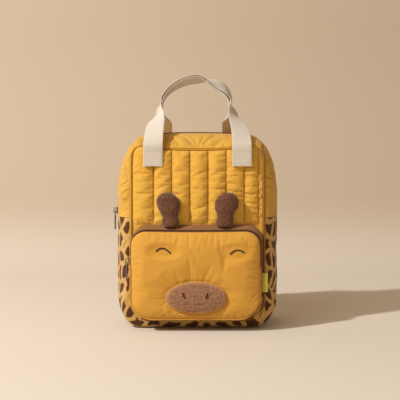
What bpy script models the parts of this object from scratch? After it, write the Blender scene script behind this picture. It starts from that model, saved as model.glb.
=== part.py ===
"""Kids backpack with a quilted front, a printed lower band and a padded face pocket.

Metres, +Z up. The bag stands on z = 0, centred on the origin. Its front faces -Y,
its shoulder straps are on the +Y side, and +X is to the right seen from the front.
"""
from collections import namedtuple

import bmesh
import bpy
import numpy as np

# Main body
SEAM_HALF_WIDTH = 0.103        # front panel, centre to side seam
PANEL_TOP = 0.289              # front panel's top corners
PANEL_BOTTOM = 0.014           # front panel's bottom seam
PANEL_SAG = 0.011              # dip of the front panel's top edge at the centre
ZIP_HALF_WIDTH = 0.1265        # widest line of the bag, along the main zip
ZIP_TOP = 0.296                # shoulders of the zip line
ZIP_ARCH = 0.007               # rise of the zip line at the centre
BACK_HALF_WIDTH = 0.105
BACK_TOP = 0.287
BACK_BOTTOM = 0.012
BACK_ARCH = 0.006
BODY_DEPTH = 0.112             # front seam to back seam
SIDE_SEAM = 0.172              # height where the plain top band meets the printed band
SWELL = 1.02                   # over 1, the band runs straight across its middle
BOXY_BASE = 5.2                # power of the band's section on the floor: high is boxy
ROUND_TOP = 2.1                # power of its section above the base: 2 is an ellipse
BASE_HEIGHT = 0.060            # where the section has become round

# Walls and clearances
GAP = 0.0004                   # kept between pieces that are sewn to each other
SEAM_EASE = 0.0005             # more room where two curved edges meet
SLIDER_EASE = 0.0003           # more room under a slider, over its teeth
CORNER_WEIGHT = 0.030          # an outline's corners get as many points as this much length a radian
PIPING_RADIUS = 0.0016
PANEL_WALL = 0.005             # quilted panel, with its wadding
BACK_WALL = 0.006
GUSSET_WALL = 0.0028
POCKET_WALL = 0.0018
TAPE_WALL = 0.0012
WEBBING_WALL = 0.0017

# Quilting and fullness of the front
PANEL_DOME = 0.003
CHANNELS = 7
QUILT_RELIEF = 0.0034
GATHER_COUNT = 9
GATHER_RELIEF = 0.0016
GATHER_HALF_SPAN = 0.042

# Main zip
ZIP_TAPE_WIDTH = 0.022
TEETH_WIDTH = 0.006
TEETH_HEIGHT = 0.0012

# Pocket
POCKET_HALF_WIDTH = 0.0985
POCKET_TOP = 0.1535
POCKET_BOTTOM = 0.0195
POCKET_DEPTH = 0.022           # front panel to the pocket's face
POCKET_DOME = 0.006
POCKET_LEAN = -0.003           # the face sits this far to the left of its seam
POCKET_SEAM_TOP = 0.1615       # where the pocket's zip tape meets the front panel
POCKET_SEAM_MARGIN = 0.0036    # pocket seam to the front panel's edge
POCKET_ZIP_END = 0.098         # height of both ends of the pocket's zip
POCKET_BULGE = 0.0012
TEETH_END = 0.95               # share of the pocket's depth where its teeth end
TEETH_SLOPE = 0.01             # share of the depth over which they rise on each side

# Face on the pocket
MUZZLE_WIDTH = 0.091
MUZZLE_HEIGHT = 0.048
MUZZLE_THICK = 0.0055
MUZZLE_HEIGHT_ON_POCKET = 0.0535
MUZZLE_X = -0.002
EYE_WIDTH = 0.023
EYE_RISE = 0.0065
EYE_MARGIN = 0.0405            # pocket's edge to the middle of an eye
EYE_HEIGHT = 0.1215
EYE_CENTRE_X = 0.003
THREAD_RADIUS = 0.001
NOSTRIL_LENGTH = 0.008
NOSTRIL_SPACING = 0.035
NOSTRIL_HEIGHT = 0.058
NOSTRIL_LEAN = 0.0025

# Horns
HORN_LENGTH = 0.050
HORN_HEAD_WIDTH = 0.037
HORN_STEM_WIDTH = 0.025
HORN_THICK = 0.017
HORN_SPACING = 0.083
HORN_LEAN = 0.006              # how far each head leans outwards
HORN_SINK = 0.0014             # how far a horn settles between two channels

# Side tag
TAG_LENGTH = 0.029
TAG_REACH = 0.0085
TAG_WALL = 0.0016
TAG_TOP = 0.087
TAG_PLACE = 0.16               # share of the pocket's depth, from its seam

# Carrying handles
WEBBING_WIDTH = 0.030
FRONT_FOOT_SPACING = 0.137     # between the centres of the front webbing's ends
BACK_FOOT_SPACING = 0.113
FRONT_FOOT_BOTTOM = 0.252      # lower end of the webbing sewn to the front
BACK_FOOT_BOTTOM = 0.266
LAYER_GAP = 0.0016             # between the two webbings at the grip
EDGE_CLEARANCE = 0.004         # height over a panel's edge where the webbing leaves it
GRIP_HALF_WIDTH = 0.0575
GRIP_BASE = 0.350              # where the two webbings come together
GRIP_RISE = 0.040
GRIP_POWER = 1.75              # 2 is an ellipse, less is more pointed
TILT_LEFT = np.radians(20.0)   # the grip's front edge is raised on the left
TILT_RIGHT = np.radians(-32.0)

# Shoulder straps
STRAP_WIDTH = 0.046
STRAP_THICK = 0.009
STRAP_TOP = 0.262
STRAP_END = 0.112
STRAP_TOP_SPACING = 0.072
STRAP_END_SPACING = 0.152
STRAP_STANDOFF = 0.034         # how far the strap bows away from the back
TAIL_WIDTH = 0.020
TAIL_FOOT_SPACING = 0.176
TAIL_FOOT_HEIGHT = 0.036
TAIL_LOOSE_END = 0.040
ADJUSTER_WIDTH = 0.028
ADJUSTER_HEIGHT = 0.024
ADJUSTER_THICK = 0.0032
ADJUSTER_BAR = 0.0040
ADJUSTER_SLOT = 0.0060

# Zip pulls
SLIDER_LENGTH = 0.010
SLIDER_WIDTH = 0.0076
SLIDER_THICK = 0.0024
BAIL_REACH = 0.0046
BAIL_WIRE = 0.0013
BAIL_WIDTH = 0.0020
PULL_LENGTH = 0.031
PULL_WIRE = 0.0011
PULL_EYE_WIDTH = 0.0070
PULL_EYE_LENGTH = 0.0090
PULL_BAR = 0.0026
RUNNING_GAP = 0.0005

FRONT_Y = -BODY_DEPTH / 2
BACK_Y = BODY_DEPTH / 2
PANEL_FACE = FRONT_Y - PANEL_WALL / 2
BACK_FACE = BACK_Y + BACK_WALL / 2
POCKET_Y = PANEL_FACE - PANEL_DOME - POCKET_DEPTH
BAG_CENTRE = np.array([0.0, 0.0, (PANEL_TOP + PANEL_BOTTOM) / 2])

Corner = namedtuple("Corner", "across up")
LegRow = namedtuple("LegRow", "inward back up turn")
StrapRow = namedtuple("StrapRow", "down out away")
HornRow = namedtuple("HornRow", "up wide")

# Webbing from the front panel's top edge to the grip, as shares of the way there
LEG_ROWS = (
    LegRow(0.00, 0.00, 0.00, 0.00),
    LegRow(0.05, 0.12, 0.18, 0.13),
    LegRow(0.20, 0.40, 0.44, 0.31),
    LegRow(0.44, 0.69, 0.66, 0.62),
    LegRow(0.70, 0.88, 0.84, 0.96),
    LegRow(1.00, 1.00, 1.00, 1.00),
)

# Shoulder strap from its top seam to its lower end, as shares of its drop, spread and bow
STRAP_ROWS = (
    StrapRow(0.00, 0.00, 0.00),
    StrapRow(0.10, 0.02, 0.05),
    StrapRow(0.24, 0.08, 0.62),
    StrapRow(0.42, 0.24, 0.96),
    StrapRow(0.62, 0.50, 1.00),
    StrapRow(0.82, 0.80, 0.72),
    StrapRow(1.00, 1.00, 0.40),
)

# Horn outline from its seam to its tip, as shares of its length and head width
HORN_ROWS = (
    HornRow(0.00, 0.68),
    HornRow(0.12, 0.67),
    HornRow(0.24, 0.70),
    HornRow(0.36, 0.84),
    HornRow(0.48, 0.96),
    HornRow(0.62, 1.00),
    HornRow(0.78, 0.92),
    HornRow(0.90, 0.68),
    HornRow(0.98, 0.34),
)

# How finely the faces are divided
TOP_STATIONS = 45              # along the bands over the bag's top
ZIP_STATIONS = 35
BASE_STATIONS = 37
POCKET_STATIONS = 37
FRONT_CELLS = (4 * CHANNELS + 1, 6, 8)     # columns, rows below the middle row, rows above it
BACK_CELLS = (15, 4, 5)
POCKET_CELLS = (21, 6, 6)
MUZZLE_CELLS = (13, 9)
FRONT_BAND_ROWS = 6            # across a band, from seam to seam
REAR_BAND_ROWS = 5
LOWER_BAND_ROWS = 10
POCKET_BAND_ROWS = 4
EYE_STATIONS = 9
NOSTRIL_STATIONS = 4
THREAD_SIDES = 6
BAR_SIDES = 8
PIPING_STATIONS = 76
PIPING_SIDES = 5
GRIP_STATIONS = 21
LEG_STATIONS = 17
STRAP_STATIONS = 17
TAIL_STATIONS = 46
HORN_SIDES = 14


def finish(name, colour, roughness, metallic=0.0):
    """Return a plain material."""
    material = bpy.data.materials.new(name)
    material.use_nodes = True
    shader = material.node_tree.nodes["Principled BSDF"]
    shader.inputs["Base Color"].default_value = (*colour, 1.0)
    shader.inputs["Roughness"].default_value = roughness
    shader.inputs["Metallic"].default_value = metallic
    return material


def smoothstep(low, high, value):
    """Rise smoothly from 0 at low to 1 at high."""
    share = np.clip((value - low) / (high - low), 0.0, 1.0)
    return share * share * (3 - 2 * share)


def unit(vectors):
    """Scale vectors to length one."""
    return vectors / np.maximum(np.linalg.norm(vectors, axis=-1, keepdims=True), 1e-12)


def resample(points, count, closed=False, bend=0.0):
    """Space count points evenly along a line of points; any fourth column is carried along.

    A bend over zero puts more points on the corners: it is the length that a radian counts as.
    """
    line = np.vstack([points, points[:1]]) if closed else points
    steps = np.diff(line[:, :3], axis=0)
    lengths = np.linalg.norm(steps, axis=1)
    ways = steps / np.maximum(lengths, 1e-12)[:, None]
    turns = np.arccos(np.clip(np.sum(ways[1:] * ways[:-1], axis=1), -1.0, 1.0))
    lengths[1:] += bend * turns
    measure = np.concatenate([[0.0], np.cumsum(lengths)])
    stops = np.linspace(0.0, measure[-1], count + 1 if closed else count)[:count]
    return np.stack([np.interp(stops, measure, line[:, axis]) for axis in range(line.shape[1])], axis=1)


def smooth_path(rows, steps=8):
    """Run a smooth curve through a few rows of points, however far apart they are."""
    rows = np.asarray(rows, dtype=float)
    lengths = np.linalg.norm(np.diff(rows[:, :3], axis=0), axis=1)
    slopes = np.gradient(rows, np.concatenate([[0.0], np.cumsum(lengths)]), axis=0)
    share = np.linspace(0.0, 1.0, steps, endpoint=False)[None, :, None]
    reach = lengths[:, None, None]
    curve = ((2 * share ** 3 - 3 * share ** 2 + 1) * rows[:-1, None]
             + (share ** 3 - 2 * share ** 2 + share) * reach * slopes[:-1, None]
             + (3 * share ** 2 - 2 * share ** 3) * rows[1:, None]
             + (share ** 3 - share ** 2) * reach * slopes[1:, None])
    return np.vstack([curve.reshape(-1, rows.shape[1]), rows[-1:]])


class Outline:
    """A rounded upright outline in X and Z, with elliptical corners and an arched top."""

    def __init__(self, half_width, bottom, top, arch, arch_power, low_corner, high_corner):
        self.half_width = half_width
        self.bottom = bottom
        self.top = top
        self.arch = arch
        self.arch_power = arch_power
        self.low_corner = low_corner
        self.high_corner = high_corner

    def inset(self, margin):
        """The same outline, moved inwards all round."""
        low = Corner(self.low_corner.across - margin, self.low_corner.up - margin)
        high = Corner(self.high_corner.across - margin, self.high_corner.up - margin)
        return Outline(self.half_width - margin, self.bottom + margin, self.top - margin,
                       self.arch, self.arch_power, low, high)

    def top_at(self, x):
        """Height of the top edge above each x."""
        across = np.clip((np.abs(x) - self.half_width + self.high_corner.across)
                         / self.high_corner.across, 0.0, 1.0)
        corner = self.high_corner.up * (1 - np.sqrt(1 - across ** 2))
        share = np.clip(np.abs(x) / self.half_width, 0.0, 1.0)
        return self.top - corner + self.arch * (1 - share ** self.arch_power)

    def bottom_at(self, x):
        """Height of the bottom edge above each x."""
        across = np.clip((np.abs(x) - self.half_width + self.low_corner.across)
                         / self.low_corner.across, 0.0, 1.0)
        return self.bottom + self.low_corner.up * (1 - np.sqrt(1 - across ** 2))

    def half(self):
        """Right half, from the bottom centre to the top centre."""
        turn = np.sin(np.linspace(0.0, np.pi / 2, 160))
        x = self.half_width * turn
        low = np.stack([x, self.bottom_at(x)], axis=1)
        high = np.stack([x[::-1], self.top_at(x[::-1])], axis=1)
        return np.vstack([low, high])

    def cut(self, level):
        """Split the right half at a height: the part below and the part above."""
        half = self.half()
        index = int(np.argmax(half[:, 1] > level))
        share = (level - half[index - 1, 1]) / (half[index, 1] - half[index - 1, 1])
        point = half[index - 1] + share * (half[index] - half[index - 1])
        return np.vstack([half[:index], point]), np.vstack([point, half[index:]])

    def over(self, level, count):
        """From the left side at a height, over the top, to the right side."""
        above = self.cut(level)[1]
        left = above * np.array([-1.0, 1.0])
        return resample(np.vstack([left, above[::-1][1:]]), count, bend=CORNER_WEIGHT)

    def under(self, level, count):
        """From the left side at a height, under the bottom, to the right side."""
        below = self.cut(level)[0]
        left = below[::-1] * np.array([-1.0, 1.0])
        return resample(np.vstack([left, below[1:]]), count, bend=CORNER_WEIGHT)

    def loop(self, count):
        """All the way round."""
        half = self.half()
        left = half[::-1][1:-1] * np.array([-1.0, 1.0])
        return resample(np.vstack([half, left]), count, closed=True, bend=CORNER_WEIGHT)


FRONT_OUTLINE = Outline(SEAM_HALF_WIDTH, PANEL_BOTTOM, PANEL_TOP, -PANEL_SAG, 3.0,
                        Corner(0.030, 0.030), Corner(0.021, 0.025))
ZIP_OUTLINE = Outline(ZIP_HALF_WIDTH, 0.0, ZIP_TOP, ZIP_ARCH, 2.0,
                      Corner(0.036, 0.056), Corner(0.050, 0.090))
BACK_OUTLINE = Outline(BACK_HALF_WIDTH, BACK_BOTTOM, BACK_TOP, BACK_ARCH, 2.0,
                       Corner(0.030, 0.030), Corner(0.032, 0.040))
POCKET_SEAM = Outline(SEAM_HALF_WIDTH - POCKET_SEAM_MARGIN, PANEL_BOTTOM + POCKET_SEAM_MARGIN,
                      POCKET_SEAM_TOP, 0.0, 2.0, Corner(0.028, 0.028), Corner(0.022, 0.022))
POCKET_OUTLINE = Outline(POCKET_HALF_WIDTH, POCKET_BOTTOM, POCKET_TOP, -0.0015, 2.0,
                         Corner(0.034, 0.032), Corner(0.024, 0.022))


def mesh_object(name, vertices, faces, material):
    """Make one closed, smooth-shaded object that faces outwards."""
    mesh = bpy.data.meshes.new(name)
    mesh.from_pydata([tuple(map(float, vertex)) for vertex in vertices], [], faces)
    body = bmesh.new()
    body.from_mesh(mesh)
    bmesh.ops.recalc_face_normals(body, faces=body.faces)
    body.to_mesh(mesh)
    body.free()
    mesh.shade_smooth()
    mesh.set_sharp_from_angle(angle=np.radians(40.0))
    mesh.materials.append(material)
    thing = bpy.data.objects.new(name, mesh)
    bpy.context.scene.collection.objects.link(thing)
    return thing


def solid_between(name, outer, inner, material, closed=False):
    """Close the space between two grids of the same shape, with a wall along every free edge.

    Both faces are split along the same diagonals, so a twisted wall keeps its thickness.
    """
    rows, columns = outer.shape[:2]
    vertices = np.vstack([outer.reshape(-1, 3), inner.reshape(-1, 3)])
    shift = rows * columns
    faces = []
    last = rows if closed else rows - 1
    for row in range(last):
        here = row * columns
        there = (row + 1) % rows * columns
        for column in range(columns - 1):
            a, b = here + column, here + column + 1
            c, d = there + column + 1, there + column
            for half in ((a, b, c), (a, c, d)):
                faces.append(half)
                faces.append(tuple(corner + shift for corner in reversed(half)))
        for edge in (0, columns - 1):
            faces.append((here + edge, there + edge, there + edge + shift, here + edge + shift))
    if not closed:
        for row in (0, rows - 1):
            start = row * columns
            for column in range(columns - 1):
                a, b = start + column, start + column + 1
                faces.append((a, b, b + shift, a + shift))
    return mesh_object(name, vertices, faces, material)


def outward(grid, centre, closed=False):
    """Unit normals of a grid of points, turned away from a centre."""
    if closed:
        wrapped = np.concatenate([grid[-1:], grid, grid[:1]])
        along = np.gradient(wrapped, axis=0)[1:-1]
    else:
        along = np.gradient(grid, axis=0)
    normals = unit(np.cross(along, np.gradient(grid, axis=1)))
    facing = np.sum(normals * (grid - centre))
    return normals if facing > 0 else -normals


def shell(name, grid, wall, material, centre, closed=False, raised=0.0):
    """A cloth wall whose outer face is the grid, with parts of it raised."""
    normals = outward(grid, centre, closed)
    raised = np.broadcast_to(raised, grid.shape[:2])[..., None]
    return solid_between(name, grid + normals * raised, grid - normals * wall, material, closed)


def ribbon(name, path, across, facing, width, wall, material, columns=2):
    """A flat strip along a path, rounded off towards its edges where it has more columns."""
    share = np.linspace(-1.0, 1.0, columns)
    half = wall / 2 if columns == 2 else wall / 2 * (0.35 + 0.65 * np.sqrt(1 - 0.98 * share ** 4))
    half = np.broadcast_to(half, share.shape)[None, :, None]
    middle = path[:, None] + across[:, None] * (share * width / 2)[None, :, None]
    return solid_between(name, middle + facing[:, None] * half, middle - facing[:, None] * half, material)


def tube(name, path, radius, sides, material, closed=False, side_axis=(0.0, 1.0, 0.0)):
    """A round cord along a path that lies square to side_axis."""
    side = np.asarray(side_axis)
    if closed:
        along = np.roll(path, -1, axis=0) - np.roll(path, 1, axis=0)
    else:
        along = np.gradient(path, axis=0)
    across = unit(np.cross(unit(along), side))
    angles = np.linspace(0.0, 2 * np.pi, sides, endpoint=False)
    ring = np.cos(angles)[None, :, None] * across[:, None] + np.sin(angles)[None, :, None] * side
    vertices = (path[:, None] + radius * ring).reshape(-1, 3)
    count = len(path)
    faces = []
    for row in range(count if closed else count - 1):
        for column in range(sides):
            after = (column + 1) % sides
            there = (row + 1) % count * sides
            faces.append((row * sides + column, row * sides + after, there + after, there + column))
    if not closed:
        faces.append(tuple(range(sides)))
        faces.append(tuple(range((count - 1) * sides, count * sides)))
    return mesh_object(name, vertices, faces, material)


def block(name, low, high, material):
    """A plain box between two corners."""
    xs, ys, zs = zip(low, high)
    outer = np.array([[[xs[1], y, z] for z in zs] for y in ys])
    inner = np.array([[[xs[0], y, z] for z in zs] for y in ys])
    return solid_between(name, outer, inner, material)


def plate_ring(name, outer_loop, inner_loop, offset, material):
    """A flat ring between two loops, thickened both ways by an offset."""
    grid = np.stack([inner_loop, outer_loop], axis=1)
    return solid_between(name, grid + offset, grid - offset, material, closed=True)


def combine(base, operand, operation):
    """Union or cut with another object, which is then only a guide."""
    modifier = base.modifiers.new(operation.title(), "BOOLEAN")
    modifier.operation = operation
    modifier.object = operand
    operand.hide_render = True
    operand.display_type = "WIRE"
    return base


def panel_front(x, z):
    """Outer face of the front panel: a low dome, with upright channels above the pocket."""
    middle = (PANEL_TOP + PANEL_BOTTOM) / 2
    reach = (PANEL_TOP - PANEL_BOTTOM) / 2
    dome = np.clip(1 - (x / SEAM_HALF_WIDTH) ** 4, 0, 1) * np.clip(1 - ((z - middle) / reach) ** 4, 0, 1)
    pitch = 2 * SEAM_HALF_WIDTH / CHANNELS
    channel = np.sqrt(np.abs(np.cos(np.pi * (x / pitch))))
    above = smoothstep(POCKET_SEAM_TOP, POCKET_SEAM_TOP + 0.012, z)
    below = 1 - smoothstep(-0.012, 0.0, z - FRONT_OUTLINE.top_at(x))
    return PANEL_FACE - PANEL_DOME * dome - QUILT_RELIEF * channel * above * below


def pocket_front_face(x, z):
    """Outer face of the pocket: a puffed panel that falls back towards its edges."""
    middle = (POCKET_TOP + POCKET_BOTTOM) / 2
    reach = (POCKET_TOP - POCKET_BOTTOM) / 2
    across = np.clip(np.abs((x - POCKET_LEAN) / POCKET_HALF_WIDTH), 0, 1)
    up = np.clip(np.abs((z - middle) / reach), 0, 1)
    puff = (1 - across ** 5) * (1 - up ** 4)
    return POCKET_Y - POCKET_DOME * puff


def filled_panel(outline, cells, level, lean=0.0):
    """Points inside an outline, in upright columns that share one straight row at a level.

    cells holds the number of columns, of rows below the level and of rows above it.
    """
    columns, low_rows, high_rows = cells
    turn = np.linspace(-1.0, 1.0, columns)
    x = outline.half_width * (0.8 * turn + 0.2 * np.sin(turn * np.pi / 2))
    low = outline.bottom_at(x)[:, None]
    high = outline.top_at(x)[:, None]
    rise = np.sin(np.linspace(0.0, np.pi / 2, low_rows))[None, :]
    ease = 1 - np.cos(np.linspace(0.0, np.pi / 2, high_rows + 1))[None, ::-1][:, 1:]
    z = np.hstack([low + (level - low) * rise, high + (level - high) * ease])
    return np.repeat(x[:, None] + lean, z.shape[1], axis=1), z


def panel(name, points, face, wall, material):
    """A flat-backed panel with a shaped outer face, which lies on the bag's front or back."""
    x, z = points
    y = face(x, z)
    outer = np.stack([x, y, z], axis=-1)
    flat = np.full_like(x, face(x, z)[0, 0] - np.sign(y.mean()) * wall)
    inner = np.stack([x, flat, z], axis=-1)
    return solid_between(name, outer, inner, material)


def make_front_panel(material):
    """The quilted front, inside its piping."""
    inside = FRONT_OUTLINE.inset(PIPING_RADIUS + GAP + SEAM_EASE)
    points = filled_panel(inside, FRONT_CELLS, POCKET_SEAM_TOP + GAP)
    return panel("front_panel", points, panel_front, PANEL_WALL, material)


def back_face(x, z):
    """Outer face of the back panel, which is flat."""
    return np.full_like(x, BACK_FACE)


def make_back_panel(material):
    """The flat padded back, inside its piping."""
    inside = BACK_OUTLINE.inset(PIPING_RADIUS + GAP + SEAM_EASE)
    points = filled_panel(inside, BACK_CELLS, SIDE_SEAM)
    return panel("back_panel", points, back_face, BACK_WALL, material)


def fullness(z):
    """How boxy the band is between its seams: flat at the base, round above."""
    return BOXY_BASE - (BOXY_BASE - ROUND_TOP) * smoothstep(0.0, BASE_HEIGHT, z)


def gusset_grid(front, middle, back, depths):
    """The bag's side band at given shares of its depth, 0 at the front seam and 1 at the back seam."""
    power = fullness(middle[:, 1])[:, None]
    depths = np.broadcast_to(depths, (len(middle), depths.shape[-1]))
    inner = np.abs(1 - 2 * depths)
    swell = np.minimum(1.0, SWELL * (1 - inner ** power) ** (1 / power))
    seam = np.where((depths <= 0.5)[..., None], front[:, None], back[:, None])
    swollen = seam + (middle[:, None] - seam) * swell[..., None]
    return np.stack([swollen[..., 0], (depths - 0.5) * BODY_DEPTH, swollen[..., 1]], axis=-1)


def gathers(grid):
    """Soft folds that fan out from the middle of the top front seam."""
    x, y, z = grid[..., 0], grid[..., 1], grid[..., 2]
    span = np.clip(1 - (x / GATHER_HALF_SPAN) ** 2, 0, 1)
    near = np.clip(1 - (y - FRONT_Y) / (BODY_DEPTH / 2), 0, 1) * smoothstep(0.0, 0.006, y - FRONT_Y)
    wave = np.cos(GATHER_COUNT * np.pi * x / (2 * GATHER_HALF_SPAN) * (1 + 0.5 * (1 - near)))
    folded = grid.copy()
    folded[..., 2] = z - GATHER_RELIEF * (1 - wave) * span * near * (z > SIDE_SEAM)
    return folded


def seam_start(seam, middle, clear):
    """Share of the depth at each station where a band is clear of its piping."""
    power = fullness(middle[:, 1])
    reach = np.linalg.norm(middle - seam, axis=1)
    share = np.minimum(clear / reach / SWELL, 0.9)
    return (1 - (1 - share ** power) ** (1 / power)) / 2


def band_depths(start, stop, count):
    """Depth shares between two limits at each station, closer together near a seam."""
    first = np.arccos(1 - 2 * np.asarray(start, dtype=float)).reshape(-1, 1)
    last = np.arccos(1 - 2 * np.asarray(stop, dtype=float)).reshape(-1, 1)
    return (1 - np.cos(first + (last - first) * np.linspace(0.0, 1.0, count))) / 2


def make_gussets(padded, printed, zip_cloth):
    """Two padded bands and the zip between them over the top, and the printed band below."""
    level = SIDE_SEAM + GAP / 2
    runs = [line.over(level, TOP_STATIONS) for line in (FRONT_OUTLINE, ZIP_OUTLINE, BACK_OUTLINE)]
    clear = PIPING_RADIUS + GAP + SEAM_EASE
    tape = ZIP_TAPE_WIDTH / 2 / BODY_DEPTH
    gap = GAP / BODY_DEPTH
    start = seam_start(runs[0], runs[1], clear)
    stop = 1 - seam_start(runs[2], runs[1], clear)
    front = gathers(gusset_grid(*runs, band_depths(start, 0.5 - tape - gap, FRONT_BAND_ROWS)))
    rear = gusset_grid(*runs, band_depths(0.5 + tape + gap, stop, REAR_BAND_ROWS))
    shell("front_gusset", front, GUSSET_WALL, padded, BAG_CENTRE)
    shell("rear_gusset", rear, GUSSET_WALL, padded, BAG_CENTRE)

    teeth = TEETH_WIDTH / 2 / BODY_DEPTH
    depths = 0.5 + np.array([-tape, -teeth * 1.2, -teeth, teeth, teeth * 1.2, tape])
    raised = np.array([0.0, 0.0, TEETH_HEIGHT, TEETH_HEIGHT, 0.0, 0.0])
    runs = [line.over(level, ZIP_STATIONS) for line in (FRONT_OUTLINE, ZIP_OUTLINE, BACK_OUTLINE)]
    shell("main_zip", gusset_grid(*runs, depths), TAPE_WALL, zip_cloth, BAG_CENTRE, raised=raised)

    level = SIDE_SEAM - GAP / 2
    runs = [line.under(level, BASE_STATIONS) for line in (FRONT_OUTLINE, ZIP_OUTLINE, BACK_OUTLINE)]
    start = seam_start(runs[0], runs[1], clear)
    stop = 1 - seam_start(runs[2], runs[1], clear)
    lower = gusset_grid(*runs, band_depths(start, stop, LOWER_BAND_ROWS))
    shell("lower_gusset", lower, GUSSET_WALL, printed, BAG_CENTRE)


def make_piping(name, outline, y, material):
    """The cord in the seam all round a panel."""
    loop = outline.loop(PIPING_STATIONS)
    path = np.stack([loop[:, 0], np.full(len(loop), y), loop[:, 1]], axis=1)
    return tube(name, path, PIPING_RADIUS, PIPING_SIDES, material, closed=True)


def pocket_grid(seam, face, shares):
    """The pocket's side band, from its seam on the front panel to its face."""
    rear_y = panel_front(seam[:, 0], np.minimum(seam[:, 1], POCKET_SEAM_TOP)) - GAP - SEAM_EASE
    front_y = np.full(len(face), POCKET_Y + POCKET_WALL + GAP)
    rear = np.stack([seam[:, 0], rear_y, seam[:, 1]], axis=1)[:, None]
    front = np.stack([face[:, 0] + POCKET_LEAN, front_y, face[:, 1]], axis=1)[:, None]
    share = shares[None, :, None]
    out = np.stack([face[:, 0] / POCKET_HALF_WIDTH, 0 * front_y,
                    (face[:, 1] - BAG_CENTRE[2] / 2) / POCKET_TOP], axis=1)[:, None]
    return rear + (front - rear) * share + POCKET_BULGE * np.sin(np.pi * share) * out


def make_pocket(cloth, printed, zip_cloth):
    """The pocket's face, its side band and the zip over its top."""
    centre = np.array([0.0, (POCKET_Y + PANEL_FACE) / 2, (POCKET_TOP + POCKET_BOTTOM) / 2])
    middle = (POCKET_TOP + POCKET_BOTTOM) / 2
    points = filled_panel(POCKET_OUTLINE, POCKET_CELLS, middle, POCKET_LEAN)
    x, z = points
    outer = np.stack([x, pocket_front_face(x, z), z], axis=-1)
    solid_between("pocket_front", outer, outer + np.array([0.0, POCKET_WALL, 0.0]), cloth)
    level = POCKET_ZIP_END - GAP / 2
    under = [line.under(level, POCKET_STATIONS) for line in (POCKET_SEAM, POCKET_OUTLINE)]
    band = pocket_grid(*under, np.linspace(0.0, 1.0, POCKET_BAND_ROWS))
    shell("pocket_gusset", band, POCKET_WALL, printed, centre)
    level = POCKET_ZIP_END + GAP / 2
    over = [line.over(level, POCKET_STATIONS) for line in (POCKET_SEAM, POCKET_OUTLINE)]
    teeth_start = TEETH_END - TEETH_WIDTH / POCKET_DEPTH
    shares = np.array([0.0, teeth_start - TEETH_SLOPE, teeth_start + TEETH_SLOPE,
                       TEETH_END - TEETH_SLOPE, TEETH_END + TEETH_SLOPE, 1.0])
    raised = np.array([0.0, 0.0, TEETH_HEIGHT, TEETH_HEIGHT, 0.0, 0.0])
    shell("pocket_zip", pocket_grid(*over, shares), TAPE_WALL, zip_cloth, centre, raised=raised)


def make_horn(name, side, material):
    """A stuffed horn that stands on the pocket's seam and leans outwards."""
    rest = PANEL_FACE - PANEL_DOME - QUILT_RELIEF + HORN_SINK - GAP - HORN_THICK / 2
    base = POCKET_SEAM_TOP + TEETH_HEIGHT + GAP
    sides = HORN_SIDES
    angles = np.linspace(0.0, 2 * np.pi, sides, endpoint=False)
    vertices = []
    for row in HORN_ROWS:
        wide = HORN_HEAD_WIDTH / 2 * row.wide
        wide = max(wide, HORN_STEM_WIDTH / 2) if row.up < 0.3 else wide
        thick = HORN_THICK / 2 * min(1.0, row.wide * 1.25)
        x = side * (HORN_SPACING / 2 + HORN_LEAN * row.up ** 1.5)
        ring = np.stack([x + wide * np.cos(angles), rest + thick * np.sin(angles),
                         np.full(sides, base + HORN_LENGTH * row.up)], axis=1)
        vertices.append(ring)
    faces = [tuple(range(sides)), tuple(range((len(HORN_ROWS) - 1) * sides, len(HORN_ROWS) * sides))]
    for row in range(len(HORN_ROWS) - 1):
        for column in range(sides):
            after = (column + 1) % sides
            here, there = row * sides, (row + 1) * sides
            faces.append((here + column, here + after, there + after, there + column))
    return mesh_object(name, np.vstack(vertices), faces, material)


def make_muzzle(material):
    """A padded oval that follows the pocket's face."""
    across, up = np.meshgrid(*(np.linspace(-1, 1, count) for count in MUZZLE_CELLS), indexing="ij")
    round_x = across * np.sqrt(1 - up ** 2 / 2)
    round_z = up * np.sqrt(1 - across ** 2 / 2)
    x = MUZZLE_X + MUZZLE_WIDTH / 2 * round_x
    z = MUZZLE_HEIGHT_ON_POCKET + MUZZLE_HEIGHT / 2 * round_z
    back = pocket_front_face(x, z) - GAP
    edge = np.clip(np.maximum(np.abs(across), np.abs(up)), 0, 1)
    front = back - MUZZLE_THICK * (0.3 + 0.7 * np.sqrt(1 - edge ** 3))
    outer = np.stack([x, front, z], axis=-1)
    inner = np.stack([x, back, z], axis=-1)
    return solid_between("muzzle", outer, inner, material)


def muzzle_front(x, z):
    """How far forward the muzzle stands at a point on it."""
    return pocket_front_face(x, z) - GAP - MUZZLE_THICK


def make_eye(name, side, material):
    """A closed eye, embroidered as a low arc."""
    turn = np.linspace(-1.0, 1.0, EYE_STATIONS)
    x = EYE_CENTRE_X + side * (POCKET_HALF_WIDTH - EYE_MARGIN) + turn * EYE_WIDTH / 2
    z = EYE_HEIGHT + EYE_RISE * (1 - turn ** 2)
    y = pocket_front_face(x, z) - GAP - THREAD_RADIUS
    return tube(name, np.stack([x, y, z], axis=1), THREAD_RADIUS, THREAD_SIDES, material)


def make_nostril(name, side, material):
    """A short embroidered stroke on the muzzle."""
    turn = np.linspace(-1.0, 1.0, NOSTRIL_STATIONS)
    x = MUZZLE_X + side * (NOSTRIL_SPACING / 2 + turn * NOSTRIL_LEAN / 2)
    z = NOSTRIL_HEIGHT + turn * NOSTRIL_LENGTH / 2
    y = muzzle_front(x, z) - GAP - THREAD_RADIUS
    return tube(name, np.stack([x, y, z], axis=1), THREAD_RADIUS, THREAD_SIDES, material)


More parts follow.
